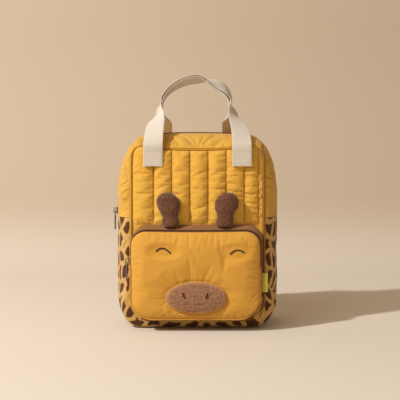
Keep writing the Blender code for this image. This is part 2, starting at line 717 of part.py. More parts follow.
def make_tag(material):
    """A folded tab that stands out of the pocket's right seam."""
    seam = np.array([[POCKET_SEAM.half_width, TAG_TOP]])
    face = np.array([[POCKET_OUTLINE.half_width, TAG_TOP]])
    start, y = pocket_grid(seam, face, np.array([TAG_PLACE]))[0, 0, :2]
    start += GAP
    return block("side_tag", (start, y - TAG_WALL / 2, TAG_TOP - TAG_LENGTH),
                 (start + TAG_REACH, y + TAG_WALL / 2, TAG_TOP), material)


def grip(layer):
    """The arched grip: points, their directions and the way that the webbing lies."""
    angle = np.linspace(np.pi, 0.0, 6 * GRIP_STATIONS)
    x = GRIP_HALF_WIDTH * np.sign(np.cos(angle)) * np.abs(np.cos(angle)) ** (2 / GRIP_POWER)
    z = GRIP_BASE + GRIP_RISE * np.abs(np.sin(angle)) ** (2 / GRIP_POWER)
    middle = np.stack([x, 0 * x, z], axis=1)
    middle = resample(middle, GRIP_STATIONS)
    along = unit(np.gradient(middle, axis=0))
    across = np.tile([0.0, -1.0, 0.0], (len(middle), 1))
    facing = -np.cross(along, across)
    share = np.linspace(0.0, 1.0, len(middle))
    fade = np.sin(np.pi * share)
    tilt = (TILT_LEFT + (TILT_RIGHT - TILT_LEFT) * smoothstep(0.48, 0.78, share)) * fade
    across = across * np.cos(tilt)[:, None] + facing * np.sin(tilt)[:, None]
    facing = -np.cross(along, across)
    return middle + layer * facing * (WEBBING_WALL + LAYER_GAP) / 2, along, across


def make_handle(name, layer, foot_spacing, foot_bottom, seat, edge, material):
    """One webbing: sewn to a panel, up to the grip, over it and down again.

    layer is 1 for the front webbing, which lies outside at the grip, and -1 for the back one.
    """
    points, along, across = grip(layer)
    top = points[0]
    foot_y = -layer * (abs(seat) + GAP + WEBBING_WALL / 2)
    foot_top = foot_bottom + (edge - foot_bottom) * 0.6
    rows = [(foot_spacing / 2, foot_y, foot_bottom, 0.0), (foot_spacing / 2, foot_y, foot_top, 0.0)]
    for row in LEG_ROWS:
        x = foot_spacing / 2 + (abs(top[0]) - foot_spacing / 2) * row.inward
        y = foot_y + (top[1] - foot_y) * row.back
        z = edge + (top[2] - edge) * row.up
        rows.append((x, y, z, row.turn))
    leg = resample(smooth_path(rows), LEG_STATIONS)
    turn = leg[:, 3] * np.pi / 2
    left = leg[:, :3] * np.array([-1.0, 1.0, 1.0])
    left_across = np.stack([np.cos(turn), -np.sin(turn), 0 * turn], axis=1)
    right = leg[::-1, :3]
    right_across = left_across[::-1] * np.array([-1.0, 1.0, 1.0])
    left_along = unit(np.gradient(left, axis=0))
    right_along = unit(np.gradient(right, axis=0))
    path = np.vstack([left[:-1], points, right[1:]])
    across = np.vstack([left_across[:-1], across, right_across[1:]])
    along = np.vstack([left_along[:-1], along, right_along[1:]])
    across = unit(across - along * np.sum(across * along, axis=1, keepdims=True))
    facing = -np.cross(along, across)
    return ribbon(name, path, across, facing, WEBBING_WIDTH, WEBBING_WALL, material)


def make_handles(material):
    """The front and the back webbing, which come together at the grip."""
    across = (FRONT_FOOT_SPACING / 2 + np.linspace(-0.5, 0.5, 25) * WEBBING_WIDTH)[:, None]
    up = np.linspace(FRONT_FOOT_BOTTOM, PANEL_TOP, 15)[None, :]
    front_seat = panel_front(across, up).min()
    front_edge = FRONT_OUTLINE.top_at(FRONT_FOOT_SPACING / 2) + EDGE_CLEARANCE
    back_edge = BACK_OUTLINE.top_at(BACK_FOOT_SPACING / 2) + EDGE_CLEARANCE
    make_handle("handle_front", 1, FRONT_FOOT_SPACING, FRONT_FOOT_BOTTOM, front_seat, front_edge, material)
    make_handle("handle_back", -1, BACK_FOOT_SPACING, BACK_FOOT_BOTTOM, BACK_FACE, back_edge, material)


def strap_path(side):
    """Middle line of a shoulder strap, from its top seam to its lower end."""
    seat = BACK_FACE + GAP + STRAP_THICK / 2
    rows = []
    for row in STRAP_ROWS:
        x = STRAP_TOP_SPACING / 2 + (STRAP_END_SPACING - STRAP_TOP_SPACING) / 2 * row.out
        y = seat + STRAP_STANDOFF * row.away
        z = STRAP_TOP + (STRAP_END - STRAP_TOP) * row.down
        rows.append((side * x, y, z))
    return resample(smooth_path(rows), STRAP_STATIONS)


def strap_frame(path):
    """Across and outward directions of a strap that hangs behind the bag."""
    along = unit(np.gradient(path, axis=0))
    across = unit(np.cross(along, np.array([0.0, 1.0, 0.0])))
    facing = unit(np.cross(across, along))
    return along, across, facing


def make_shoulder_strap(name, side, material):
    """A padded strap that bows away from the back."""
    path = strap_path(side)
    across, facing = strap_frame(path)[1:]
    return ribbon(name, path, across, facing, STRAP_WIDTH, STRAP_THICK, material, columns=5)


def adjuster_frame(side):
    """Centre of the adjuster and its directions, in line with the end of the strap."""
    path = strap_path(side)
    along, across, facing = (part[-1] for part in strap_frame(path))
    centre = path[-1] + along * (GAP + ADJUSTER_HEIGHT / 2)
    return centre, along, across, facing


def make_adjuster(name, side, material):
    """A moulded frame with two slots and a bar between them."""
    centre, along, across, facing = adjuster_frame(side)

    def slab(label, low, high, thick):
        """A flat block in the adjuster's own plane."""
        grid = np.array([[centre + across * u + along * v for v in (low[1], high[1])]
                         for u in (low[0], high[0])])
        return solid_between(label, grid + facing * thick, grid - facing * thick, material)

    half = ADJUSTER_WIDTH / 2
    frame = slab(name, (-half, -ADJUSTER_HEIGHT / 2), (half, ADJUSTER_HEIGHT / 2), ADJUSTER_THICK / 2)
    slot_half = TAIL_WIDTH / 2 + 4 * GAP
    for number, start in enumerate((-ADJUSTER_BAR / 2 - ADJUSTER_SLOT, ADJUSTER_BAR / 2)):
        cutter = slab(f"{name}_slot_{number}", (-slot_half, start),
                      (slot_half, start + ADJUSTER_SLOT), ADJUSTER_THICK)
        combine(frame, cutter, "DIFFERENCE")
    return frame


def make_strap_tail(name, side, material):
    """Webbing from the bag's lower corner, round the adjuster's bar and loose again below."""
    centre, along, across, facing = adjuster_frame(side)
    lift = ADJUSTER_THICK / 2 + GAP + WEBBING_WALL / 2
    foot = np.array([side * TAIL_FOOT_SPACING / 2, BACK_FACE + GAP + WEBBING_WALL / 2, TAIL_FOOT_HEIGHT])
    back_foot = foot + np.array([-side * 0.003, 0.0, 0.014])
    edge = ADJUSTER_HEIGHT / 2
    turn = ADJUSTER_BAR / 2 + GAP + WEBBING_WALL
    under = centre + along * (edge + 0.010) - facing * (lift + 0.001)
    rows = [foot, back_foot, back_foot + (under - back_foot) * 0.4, under]
    rows.append(centre + along * (edge - 0.002) - facing * lift)
    rows.append(centre - facing * lift)
    rows.append(centre - along * turn * 0.9 - facing * lift * 0.8)
    rows.append(centre - along * turn * 1.3)
    rows.append(centre - along * turn * 0.9 + facing * lift * 0.8)
    rows.append(centre + facing * lift)
    rows.append(centre + along * (edge - 0.002) + facing * lift)
    leave = centre + along * (edge + 0.004) + facing * (lift + 0.0005)
    hang = unit(along * np.array([1.0, 0.0, 1.0])) * TAIL_LOOSE_END
    rows.append(leave)
    rows.append(leave + hang)
    path = resample(smooth_path(rows), TAIL_STATIONS)
    direction = unit(np.gradient(path, axis=0))
    wide = unit(across - direction * np.sum(direction * across, axis=1, keepdims=True))
    out = unit(np.cross(wide, direction))
    return ribbon(name, path, wide, out, TAIL_WIDTH, WEBBING_WALL, material)


def rounded_rectangle(width, height, radius, steps=3):
    """A closed loop of points, centred on zero."""
    turns = np.linspace(0.0, np.pi / 2, steps)
    corners = []
    for quarter, (side, up) in enumerate(((1, 1), (-1, 1), (-1, -1), (1, -1))):
        angle = turns + quarter * np.pi / 2
        x = side * (width / 2 - radius) + radius * np.cos(angle)
        z = up * (height / 2 - radius) + radius * np.sin(angle)
        corners.append(np.stack([x, z], axis=1))
    return np.vstack(corners)


def make_slider(name, seat, material):
    """A zip slider on a side face, with a bail that holds the pull.

    seat is the point on the zip's teeth under the slider's middle; the bag is at +X of it.
    """
    x, y, z = seat
    base = x - GAP
    top = base - SLIDER_THICK
    body = block(name, (top, y - SLIDER_WIDTH / 2, z - SLIDER_LENGTH / 2),
                 (base, y + SLIDER_WIDTH / 2, z + SLIDER_LENGTH / 2), material)
    reach = BAIL_REACH + SLIDER_THICK
    outer = rounded_rectangle(reach - GAP, SLIDER_LENGTH - 0.001, 0.0018)
    inner = rounded_rectangle(reach - GAP - 2 * BAIL_WIRE, SLIDER_LENGTH - 0.001 - 2 * BAIL_WIRE, 0.0006)
    middle = base - GAP - (reach - GAP) / 2
    loops = [np.stack([middle + loop[:, 0], np.full(len(loop), y), z + loop[:, 1]], axis=1)
             for loop in (outer, inner)]
    offset = np.array([0.0, BAIL_WIDTH / 2, 0.0])
    bail = plate_ring(f"{name}_bail", loops[0], loops[1], offset, material)
    return combine(body, bail, "UNION")


def pull_axis(seat):
    """Centre of the bail's opening, where the pull turns."""
    x, y, z = seat
    outermost = x - GAP - SLIDER_THICK - BAIL_REACH
    return np.array([outermost + BAIL_WIRE + RUNNING_GAP + PULL_WIRE / 2 + GAP, y, z])


def make_pull(name, seat, material):
    """A flat eye on the bail with a slim round bar below it, hanging down."""
    eye_top = PULL_WIRE / 2
    eye_middle = eye_top - PULL_EYE_LENGTH / 2
    outer = rounded_rectangle(PULL_EYE_WIDTH, PULL_EYE_LENGTH, 0.0016)
    inner = rounded_rectangle(PULL_EYE_WIDTH - 2 * PULL_WIRE * 1.5, PULL_EYE_LENGTH - 2 * PULL_WIRE, 0.0005)
    loops = [np.stack([0 * loop[:, 0], loop[:, 0], eye_middle + loop[:, 1]], axis=1)
             for loop in (outer, inner)]
    offset = np.array([PULL_WIRE / 2, 0.0, 0.0])
    eye = plate_ring(name, loops[0], loops[1], offset, material)
    start = eye_top - PULL_EYE_LENGTH + PULL_WIRE * 0.4
    stop = eye_top - PULL_LENGTH
    path = np.array([[0.0, 0.0, start], [0.0, 0.0, (start + stop) / 2], [0.0, 0.0, stop]])
    bar = tube(f"{name}_bar", path, PULL_BAR / 2, BAR_SIDES, material)
    combine(eye, bar, "UNION")
    for part in (eye, bar):
        part.location = pull_axis(seat)
    return eye


def main_slider_seat():
    """The point on the main zip's teeth, low on the bag's left side."""
    return np.array([-ZIP_HALF_WIDTH - TEETH_HEIGHT, 0.0, SIDE_SEAM + SLIDER_LENGTH * 0.7])


def pocket_slider_seat():
    """The point on the pocket zip's teeth, at its lower left end."""
    middle = TEETH_END - TEETH_WIDTH / POCKET_DEPTH / 2
    reach = SLIDER_WIDTH / POCKET_DEPTH / 2
    level = POCKET_ZIP_END + SLIDER_LENGTH * 0.9
    seam = np.array([[-POCKET_SEAM.half_width, level]])
    face = np.array([[-POCKET_OUTLINE.half_width, level]])
    shares = middle + reach * np.linspace(-1.0, 1.0, 9)
    under = pocket_grid(seam, face, shares)[0]
    outermost = under[:, 0].min()
    return np.array([outermost - TEETH_HEIGHT - SLIDER_EASE, under[4, 1], level])


def build():
    """Make every piece with its finish."""
    yellow = finish("padded_cloth", (0.76, 0.45, 0.10), 0.85)
    print_cloth = finish("printed_cloth", (0.55, 0.33, 0.12), 0.85)
    pocket_cloth = finish("pocket_cloth", (0.72, 0.40, 0.10), 0.8)
    plush = finish("brown_plush", (0.13, 0.06, 0.03), 0.95)
    tan_plush = finish("tan_plush", (0.42, 0.27, 0.16), 0.95)
    webbing = finish("cream_webbing", (0.82, 0.74, 0.60), 0.8)
    zip_cloth = finish("zip_tape", (0.30, 0.18, 0.10), 0.8)
    thread = finish("dark_thread", (0.05, 0.03, 0.02), 0.8)
    tag_cloth = finish("tag_cloth", (0.75, 0.68, 0.05), 0.8)
    back_cloth = finish("back_cloth", (0.60, 0.36, 0.10), 0.9)
    metal = finish("aged_metal", (0.16, 0.13, 0.11), 0.35, 0.9)
    plastic = finish("dark_plastic", (0.10, 0.07, 0.05), 0.4)

    make_front_panel(yellow)
    make_back_panel(back_cloth)
    make_gussets(yellow, print_cloth, zip_cloth)
    make_piping("front_piping", FRONT_OUTLINE, FRONT_Y, yellow)
    make_piping("back_piping", BACK_OUTLINE, BACK_Y, yellow)
    make_pocket(pocket_cloth, print_cloth, zip_cloth)
    make_muzzle(tan_plush)
    make_tag(tag_cloth)
    make_handles(webbing)
    for word, side in (("left", -1), ("right", 1)):
        make_horn(f"horn_{word}", side, plush)
        make_eye(f"eye_{word}", side, thread)
        make_nostril(f"nostril_{word}", side, thread)
        make_shoulder_strap(f"shoulder_strap_{word}", side, back_cloth)
        make_adjuster(f"adjuster_{word}", side, plastic)
        make_strap_tail(f"strap_tail_{word}", side, webbing)
    for word, seat in (("main", main_slider_seat()), ("pocket", pocket_slider_seat())):
        make_slider(f"{word}_slider", seat, metal)
        make_pull(f"{word}_pull", seat, metal)


for old in list(bpy.data.objects):
    bpy.data.objects.remove(old)
build()
bpy.context.view_layer.update()
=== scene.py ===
"""Looks of a kids backpack: quilted front, printed lower band, face pocket and webbing handles.

Every surface is worked out as a numpy grid in metres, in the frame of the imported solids:
+Z up, the front towards -Y, +X to the right seen from the front.
"""
from __future__ import annotations

import logging
from dataclasses import dataclass, field
from enum import Enum

import bmesh
import bpy
import numpy as np
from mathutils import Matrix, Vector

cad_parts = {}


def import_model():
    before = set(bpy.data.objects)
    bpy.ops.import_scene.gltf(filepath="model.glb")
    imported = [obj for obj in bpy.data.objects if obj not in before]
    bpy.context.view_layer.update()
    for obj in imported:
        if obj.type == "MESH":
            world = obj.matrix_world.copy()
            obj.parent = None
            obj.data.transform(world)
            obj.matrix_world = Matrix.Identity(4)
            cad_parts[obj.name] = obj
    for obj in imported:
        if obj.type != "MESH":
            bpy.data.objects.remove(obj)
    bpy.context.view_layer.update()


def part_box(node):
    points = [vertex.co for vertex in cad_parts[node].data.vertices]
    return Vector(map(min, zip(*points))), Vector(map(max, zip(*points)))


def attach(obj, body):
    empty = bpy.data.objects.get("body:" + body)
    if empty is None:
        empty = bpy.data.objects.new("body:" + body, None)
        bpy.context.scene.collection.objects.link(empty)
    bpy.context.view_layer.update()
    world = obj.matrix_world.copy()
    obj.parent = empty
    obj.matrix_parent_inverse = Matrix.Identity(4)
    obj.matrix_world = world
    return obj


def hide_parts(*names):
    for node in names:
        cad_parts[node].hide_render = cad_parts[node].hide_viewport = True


Array = np.ndarray
Colour = tuple[float, float, float]

log = logging.getLogger("backpack")
BAG = "bag"
MIRROR = np.array([-1.0, 1.0])
FORWARD = np.array([0.0, -1.0, 0.0])
BACKWARD = np.array([0.0, 1.0, 0.0])


class Slot(Enum):
    """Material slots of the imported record."""

    PADDED = "padded_cloth"
    BACK = "back_cloth"
    PRINTED = "printed_cloth"
    POCKET = "pocket_cloth"
    HORN_PLUSH = "brown_plush"
    MUZZLE_PLUSH = "tan_plush"
    WEBBING = "cream_webbing"
    ZIP = "zip_tape"
    THREAD = "dark_thread"
    TAG = "tag_cloth"
    METAL = "aged_metal"
    PLASTIC = "dark_plastic"


class Weave(Enum):
    """How a cloth's threads cross: the share of the height that runs slantwise."""

    PLAIN = 0.0
    TWILL = 0.7
    RIB = 1.0


# Arithmetic on whole arrays

def smoothstep(low: float, high: float, value: Array) -> Array:
    """Rise smoothly from 0 at low to 1 at high."""
    share = np.clip((value - low) / (high - low), 0.0, 1.0)
    return share * share * (3 - 2 * share)


def unit(vectors: Array) -> Array:
    """Scale vectors to length one."""
    return vectors / np.maximum(np.linalg.norm(vectors, axis=-1, keepdims=True), 1e-12)


def noise(u: Array, v: Array, seed: float) -> Array:
    """Smooth noise from -1 to 1 on a plane.

    Each whole-numbered corner has a value from a hash of its place; between the corners
    the values are mixed with an s-curve in both directions.

    Args:
        u: First coordinate, in cells.
        v: Second coordinate, in cells.
        seed: Picks the pattern.

    Returns:
        The noise at each point.
    """
    column, row = np.floor(u), np.floor(v)
    across, up = u - column, v - row
    across = across * across * (3 - 2 * across)
    up = up * up * (3 - 2 * up)

    def corner(right: int, over: int) -> Array:
        """Value of the corner that is right and over cells away."""
        mixed = np.sin((column + right) * 127.1 + (row + over) * 311.7 + seed * 74.7) * 43758.5453
        return 2 * (mixed - np.floor(mixed)) - 1

    low = corner(0, 0) * (1 - across) + corner(1, 0) * across
    high = corner(0, 1) * (1 - across) + corner(1, 1) * across
    return low * (1 - up) + high * up


@dataclass(frozen=True)
class Ripple:
    """One layer of a cloth's unevenness: smooth noise with cells of a given size in metres."""

    height: float
    across: float
    up: float
    seed: float

    def at(self, u: Array, v: Array, shift: float = 0.0) -> Array:
        """Height at each point; shift picks another pattern of the same kind."""
        return self.height * noise(u / self.across, v / self.up, self.seed + shift)


def measured(path: Array) -> Array:
    """Length from the start of a polyline to each of its points."""
    steps = np.linalg.norm(np.diff(path[:, :3], axis=0), axis=1)
    return np.concatenate([[0.0], np.cumsum(steps)])


def plane(u: Array, v: Array) -> Array:
    """Grid of pairs: a row for each value of u, a column for each value of v."""
    return np.stack(np.meshgrid(u, v, indexing="ij"), axis=-1)


def turned(start: Array, stop: Array, angle: Array) -> Array:
    """Turn from one direction towards another: cos t times the first plus sin t times the second."""
    return start * np.cos(angle)[..., None] + stop * np.sin(angle)[..., None]


def resample(points: Array, count: int, closed: bool = False) -> Array:
    """Space points evenly along a line; columns after the third are carried along.

    Args:
        points: Rows of a polyline.
        count: How many points to return.
        closed: Whether the last point joins the first.

    Returns:
        The new rows.
    """
    line = np.vstack([points, points[:1]]) if closed else points
    measure = measured(line)
    stops = np.linspace(0.0, measure[-1], count + 1 if closed else count)[:count]
    return np.stack([np.interp(stops, measure, line[:, axis]) for axis in range(line.shape[1])], axis=1)


def smooth_path(rows: Array | list, steps: int = 16) -> Array:
    """Run cubic curves through a few rows, each with the slope of its neighbours.

    Args:
        rows: Points to pass through, with any further columns.
        steps: Points for each stretch between two rows.

    Returns:
        The points of the curve.
    """
    rows = np.asarray(rows, dtype=float)
    measure = measured(rows)
    slopes = np.gradient(rows, measure, axis=0)
    share = np.linspace(0.0, 1.0, steps, endpoint=False)[None, :, None]
    reach = np.diff(measure)[:, None, None]
    curve = ((2 * share ** 3 - 3 * share ** 2 + 1) * rows[:-1, None]
             + (share ** 3 - 2 * share ** 2 + share) * reach * slopes[:-1, None]
             + (3 * share ** 2 - 2 * share ** 3) * rows[1:, None]
             + (share ** 3 - share ** 2) * reach * slopes[1:, None])
    return np.vstack([curve.reshape(-1, rows.shape[1]), rows[-1:]])


def normals_of(grid: Array, centre: Array) -> Array:
    """Unit normals of a grid, from the cross product of its two directions.

    Args:
        grid: Points, rows by columns by 3.
        centre: The normals point away from here.

    Returns:
        A normal for each point.
    """
    found = unit(np.cross(np.gradient(grid, axis=0), np.gradient(grid, axis=1)))
    return found if np.sum(found * (grid - centre)) > 0 else -found


def cloth_map(grid: Array) -> Array:
    """Flat coordinates of a grid in metres: lengths measured along its middle row and column."""
    rows, columns = grid.shape[:2]
    return plane(measured(grid[:, columns // 2]), measured(grid[rows // 2]))


def put_in_scene(name: str, data: bpy.types.ID) -> bpy.types.Object:
    """Make an object of a mesh, a lamp or a camera, and link it to the scene."""
    made = bpy.data.objects.new(name, data)
    bpy.context.scene.collection.objects.link(made)
    return made


# Meshes from arrays

@dataclass
class Patchwork:
    """Vertices, faces, cloth coordinates and tones that build up into one mesh."""

    points: list[Array] = field(default_factory=list)
    faces: list[Array] = field(default_factory=list)
    flats: list[Array] = field(default_factory=list)
    tones: list[Array] = field(default_factory=list)
    count: int = 0

    def add(self, points: Array, faces: Array, flat: Array | None = None, tone: Array | None = None) -> None:
        """Add one closed body.

        Args:
            points: Vertices, n by 3.
            faces: Corner numbers, four a face.
            flat: Cloth coordinates in metres, n by 2.
            tone: A value from 0 to 1 for each vertex, for the material.
        """
        a, b, c, d = (points[faces[:, corner]] for corner in range(4))
        volume = np.sum(np.cross(a, b) * c) + np.sum(np.cross(a, c) * d)
        ordered = faces if volume > 0 else faces[:, ::-1]
        self.points.append(points)
        self.faces.append(ordered + self.count)
        self.flats.append(np.zeros((len(points), 2)) if flat is None else flat)
        self.tones.append(np.zeros(len(points)) if tone is None else tone)
        self.count += len(points)

    def add_wall(self, outer: Array, inner: Array, tone: Array | None = None,
                 flat: Array | None = None) -> None:
        """Add the wall between two grids of the same shape, closed round its free edges.

        Args:
            outer: Grid of the outer face.
            inner: Grid of the inner face.
            tone: A value for each point of the outer grid.
            flat: Cloth coordinates of the outer grid, or None to measure them.
        """
        rows, columns = outer.shape[:2]
        shift = rows * columns
        number = np.arange(shift).reshape(rows, columns)
        here, after = number[:-1], number[1:]
        front = np.stack([here[:, :-1], here[:, 1:], after[:, 1:], after[:, :-1]], axis=-1).reshape(-1, 4)
        rim = np.concatenate([number[0], number[1:, -1], number[-1, -2::-1], number[-2:0:-1, 0]])
        beyond = np.roll(rim, -1)
        edge = np.stack([rim, beyond, beyond + shift, rim + shift], axis=-1)
        faces = [front, front[:, ::-1] + shift, edge[:, ::-1]]
        flat = cloth_map(outer) if flat is None else flat
        tone = np.zeros((rows, columns)) if tone is None else np.broadcast_to(tone, (rows, columns))
        self.add(np.vstack([outer.reshape(-1, 3), inner.reshape(-1, 3)]), np.vstack(faces),
                 np.tile(flat.reshape(-1, 2), (2, 1)), np.tile(tone.reshape(-1), 2))

    def add_tube(self, rings: Array, closed: bool = False, tone: float | Array = 0.0) -> None:
        """Add a tube through rings of points, with its ends drawn to a point unless it is closed.

        Args:
            rings: Stations by sides by 3.
            closed: Whether the last ring joins the first.
            tone: A value for the whole tube, or one for each station.
        """
        tone = np.broadcast_to(tone, len(rings))
        if not closed:
            ends = [np.repeat(rings[end].mean(axis=0)[None], rings.shape[1], axis=0) for end in (0, -1)]
            rings = np.concatenate([ends[0][None], rings, ends[1][None]])
            tone = np.concatenate([tone[:1], tone, tone[-1:]])
        rows, sides = rings.shape[:2]
        number = np.arange(rows * sides).reshape(rows, sides)
        beside = np.roll(number, -1, axis=1)
        here, there = (number, np.roll(number, -1, axis=0)) if closed else (number[:-1], number[1:])
        near, far = (beside, np.roll(beside, -1, axis=0)) if closed else (beside[:-1], beside[1:])
        faces = np.stack([here, near, far, there], axis=-1).reshape(-1, 4)
        girth = np.linalg.norm(rings[rows // 2, 1] - rings[rows // 2, 0]) * np.arange(sides)
        flat = plane(measured(rings.mean(axis=1)), girth).reshape(-1, 2)
        self.add(rings.reshape(-1, 3), faces, flat, np.repeat(tone, sides))

    def build(self, name: str, material: bpy.types.Material, finer: int = 0,
              crisp: float = 60.0) -> bpy.types.Object:
        """Make the object, smooth-shaded, with its place in its mesh.

        Args:
            name: Name of the piece.
            material: Its only material.
            finer: Levels of subdivision.
            crisp: Edges over this angle, in degrees, stay sharp.

        Returns:
            The new object.
        """
        points = np.vstack(self.points)
        faces = np.vstack(self.faces)
        mesh = bpy.data.meshes.new(name)
        mesh.from_pydata(points.tolist(), [], faces.tolist())
        layer = mesh.uv_layers.new(name="cloth")
        flat = np.vstack(self.flats)[faces.reshape(-1)]
        layer.data.foreach_set("uv", flat.astype(np.float32).ravel())
        shade = mesh.attributes.new("tone", "FLOAT", "POINT")
        shade.data.foreach_set("value", np.concatenate(self.tones).astype(np.float32))
        mesh.materials.append(material)
        merge_points(mesh)
        mesh.shade_smooth()
        if finer == 0:
            mesh.set_sharp_from_angle(angle=np.radians(crisp))
        piece = put_in_scene(name, mesh)
        if finer:
            smoother = piece.modifiers.new("Subdivision", "SUBSURF")
            smoother.levels = finer
            smoother.render_levels = finer
        return piece


def merge_points(mesh: bpy.types.Mesh, distance: float = 1e-7) -> None:
    """Merge points at the same place, such as a tube's tips, and drop faces without area."""
    body = bmesh.new()
    body.from_mesh(mesh)
    bmesh.ops.remove_doubles(body, verts=body.verts, dist=distance)
    bmesh.ops.dissolve_degenerate(body, edges=body.edges, dist=distance)
    body.to_mesh(mesh)
    body.free()


@dataclass(frozen=True)
class Settling:
    """Cloth simulation of one face that is held along its seams and pressed outwards."""

    pressure: float
    growth: float
    most: float
    frames: int = 20
    quality: int = 5
    mass: float = 0.3
    stiffness: float = 15.0
    bending: float = 0.3
    scale: float = 10.0

    def settle(self, fine: Array, held: Array, outward: Array) -> Array:
        """Let every second point of a fine grid move, and carry the points between them along.

        Args:
            fine: Points of the face at rest, with odd numbers of rows and columns.
            held: True where the face is sewn down.
            outward: Unit vector that the filling pushes along.
        """
        coarse = fine[::2, ::2]
        move = self.run(coarse, held[::2, ::2], outward) - coarse
        between = (move[:-1] + move[1:]) / 2
        tall = np.empty((len(fine), move.shape[1], 3))
        tall[::2], tall[1::2] = move, between
        whole = np.empty_like(fine)
        whole[:, ::2], whole[:, 1::2] = tall, (tall[:, :-1] + tall[:, 1:]) / 2
        log.info("settled %d points, furthest by %.1f mm", move[..., 0].size,
                 1000 * np.linalg.norm(move, axis=-1).max())
        return fine + whole

    def run(self, grid: Array, held: Array, outward: Array) -> Array:
        """Let the cloth move.

        Args:
            grid: Points of the face at rest.
            held: True where the face is sewn down.
            outward: Unit vector that the filling pushes along.

        Returns:
            The settled grid, with no point moved further than most.
        """
        rows, columns = grid.shape[:2]
        number = np.arange(rows * columns).reshape(rows, columns)
        faces = np.stack([number[:-1, :-1], number[1:, :-1], number[1:, 1:], number[:-1, 1:]],
                         axis=-1).reshape(-1, 4)
        corner = np.cross(grid[1, 0] - grid[0, 0], grid[0, 1] - grid[0, 0])
        if np.dot(corner, outward) < 0:
            faces = faces[:, ::-1]
        mesh = bpy.data.meshes.new("settling")
        mesh.from_pydata((grid.reshape(-1, 3) * self.scale).tolist(), [], faces.tolist())
        cloth_object = put_in_scene("settling", mesh)
        group = cloth_object.vertex_groups.new(name="held")
        group.add(number[held].tolist(), 1.0, "REPLACE")
        cloth = cloth_object.modifiers.new("Cloth", "CLOTH")
        settings = cloth.settings
        settings.quality = self.quality
        settings.mass = self.mass
        settings.vertex_group_mass = "held"
        settings.tension_stiffness = self.stiffness
        settings.compression_stiffness = self.stiffness
        settings.shear_stiffness = self.stiffness / 3
        settings.bending_stiffness = self.bending
        settings.shrink_min = -self.growth
        settings.use_pressure = True
        settings.uniform_pressure_force = self.pressure
        settings.effector_weights.gravity = 0.0
        cloth.collision_settings.use_collision = False
        cloth.point_cache.frame_start = 1
        cloth.point_cache.frame_end = self.frames
        scene = bpy.context.scene
        for frame in range(1, self.frames + 1):
            scene.frame_set(frame)
        settled = cloth_object.evaluated_get(bpy.context.evaluated_depsgraph_get())
        points = np.empty(rows * columns * 3, dtype=np.float32)
        settled.data.vertices.foreach_get("co", points)
        points = points.reshape(rows, columns, 3).astype(float) / self.scale
        bpy.data.objects.remove(cloth_object)
        scene.frame_set(1)
        move = points - grid
        far = np.linalg.norm(move, axis=-1, keepdims=True)
        return grid + move * np.minimum(1.0, self.most / np.maximum(far, 1e-9))


# Shader node groups and materials

class Sheet:
    """Adds and wires the nodes of one material or group."""

    def __init__(self, tree: bpy.types.NodeTree) -> None:
        """Keep the tree that the nodes go into."""
        self.tree = tree

    def node(self, kind: str, inputs: dict | None = None, **settings: object) -> bpy.types.Node:
        """Add a node.

        Args:
            kind: Blender's name for it, without the ShaderNode at its front.
            inputs: Values or output sockets, by input name or number.
            settings: Properties of the node.

        Returns:
            The node.
        """
        made = self.tree.nodes.new(f"ShaderNode{kind}")
        for key, value in settings.items():
            setattr(made, key, value)
        self.put(made, inputs or {})
        return made

    def put(self, node: bpy.types.Node, inputs: dict) -> None:
        """Link or set some inputs of a node, by name or number."""
        for key, value in inputs.items():
            if isinstance(value, bpy.types.NodeSocket):
                self.tree.links.new(value, node.inputs[key])
            else:
                node.inputs[key].default_value = value

    def math(self, operation: str, first: object, second: object = 0.0, third: object = 0.0) -> object:
        """Output of a Math node."""
        return self.node("Math", {0: first, 1: second, 2: third}, operation=operation).outputs[0]

    def mix(self, share: object, first: object, second: object, blend: str = "MIX") -> object:
        """Colour output of a Mix node. A plain colour is given by its three numbers."""
        first, second = ((*side, 1.0) if isinstance(side, tuple) else side for side in (first, second))
        made = self.node("Mix", {0: share, 6: first, 7: second}, data_type="RGBA", blend_type=blend)
        return made.outputs[2]

    def ramp(self, value: object, low: float, high: float) -> object:
        """Value from 0 to 1 that rises smoothly between two limits."""
        made = self.node("MapRange", {0: value, 1: low, 2: high}, interpolation_type="SMOOTHSTEP")
        return made.outputs[0]


def new_group(name: str, inputs: dict[str, str], outputs: dict[str, str]) -> tuple[Sheet, object, object]:
    """Start a shader node group.

    Args:
        name: Name of the group.
        inputs: Socket names and whether each is a Float, Vector or Color.
        outputs: The same for what comes out.

    Returns:
        The sheet to draw on, and the group's input and output nodes.
    """
    tree = bpy.data.node_groups.new(name, "ShaderNodeTree")
    for way, sockets in (("INPUT", inputs), ("OUTPUT", outputs)):
        for label, kind in sockets.items():
            tree.interface.new_socket(label, in_out=way, socket_type=f"NodeSocket{kind}")
    return Sheet(tree), tree.nodes.new("NodeGroupInput"), tree.nodes.new("NodeGroupOutput")


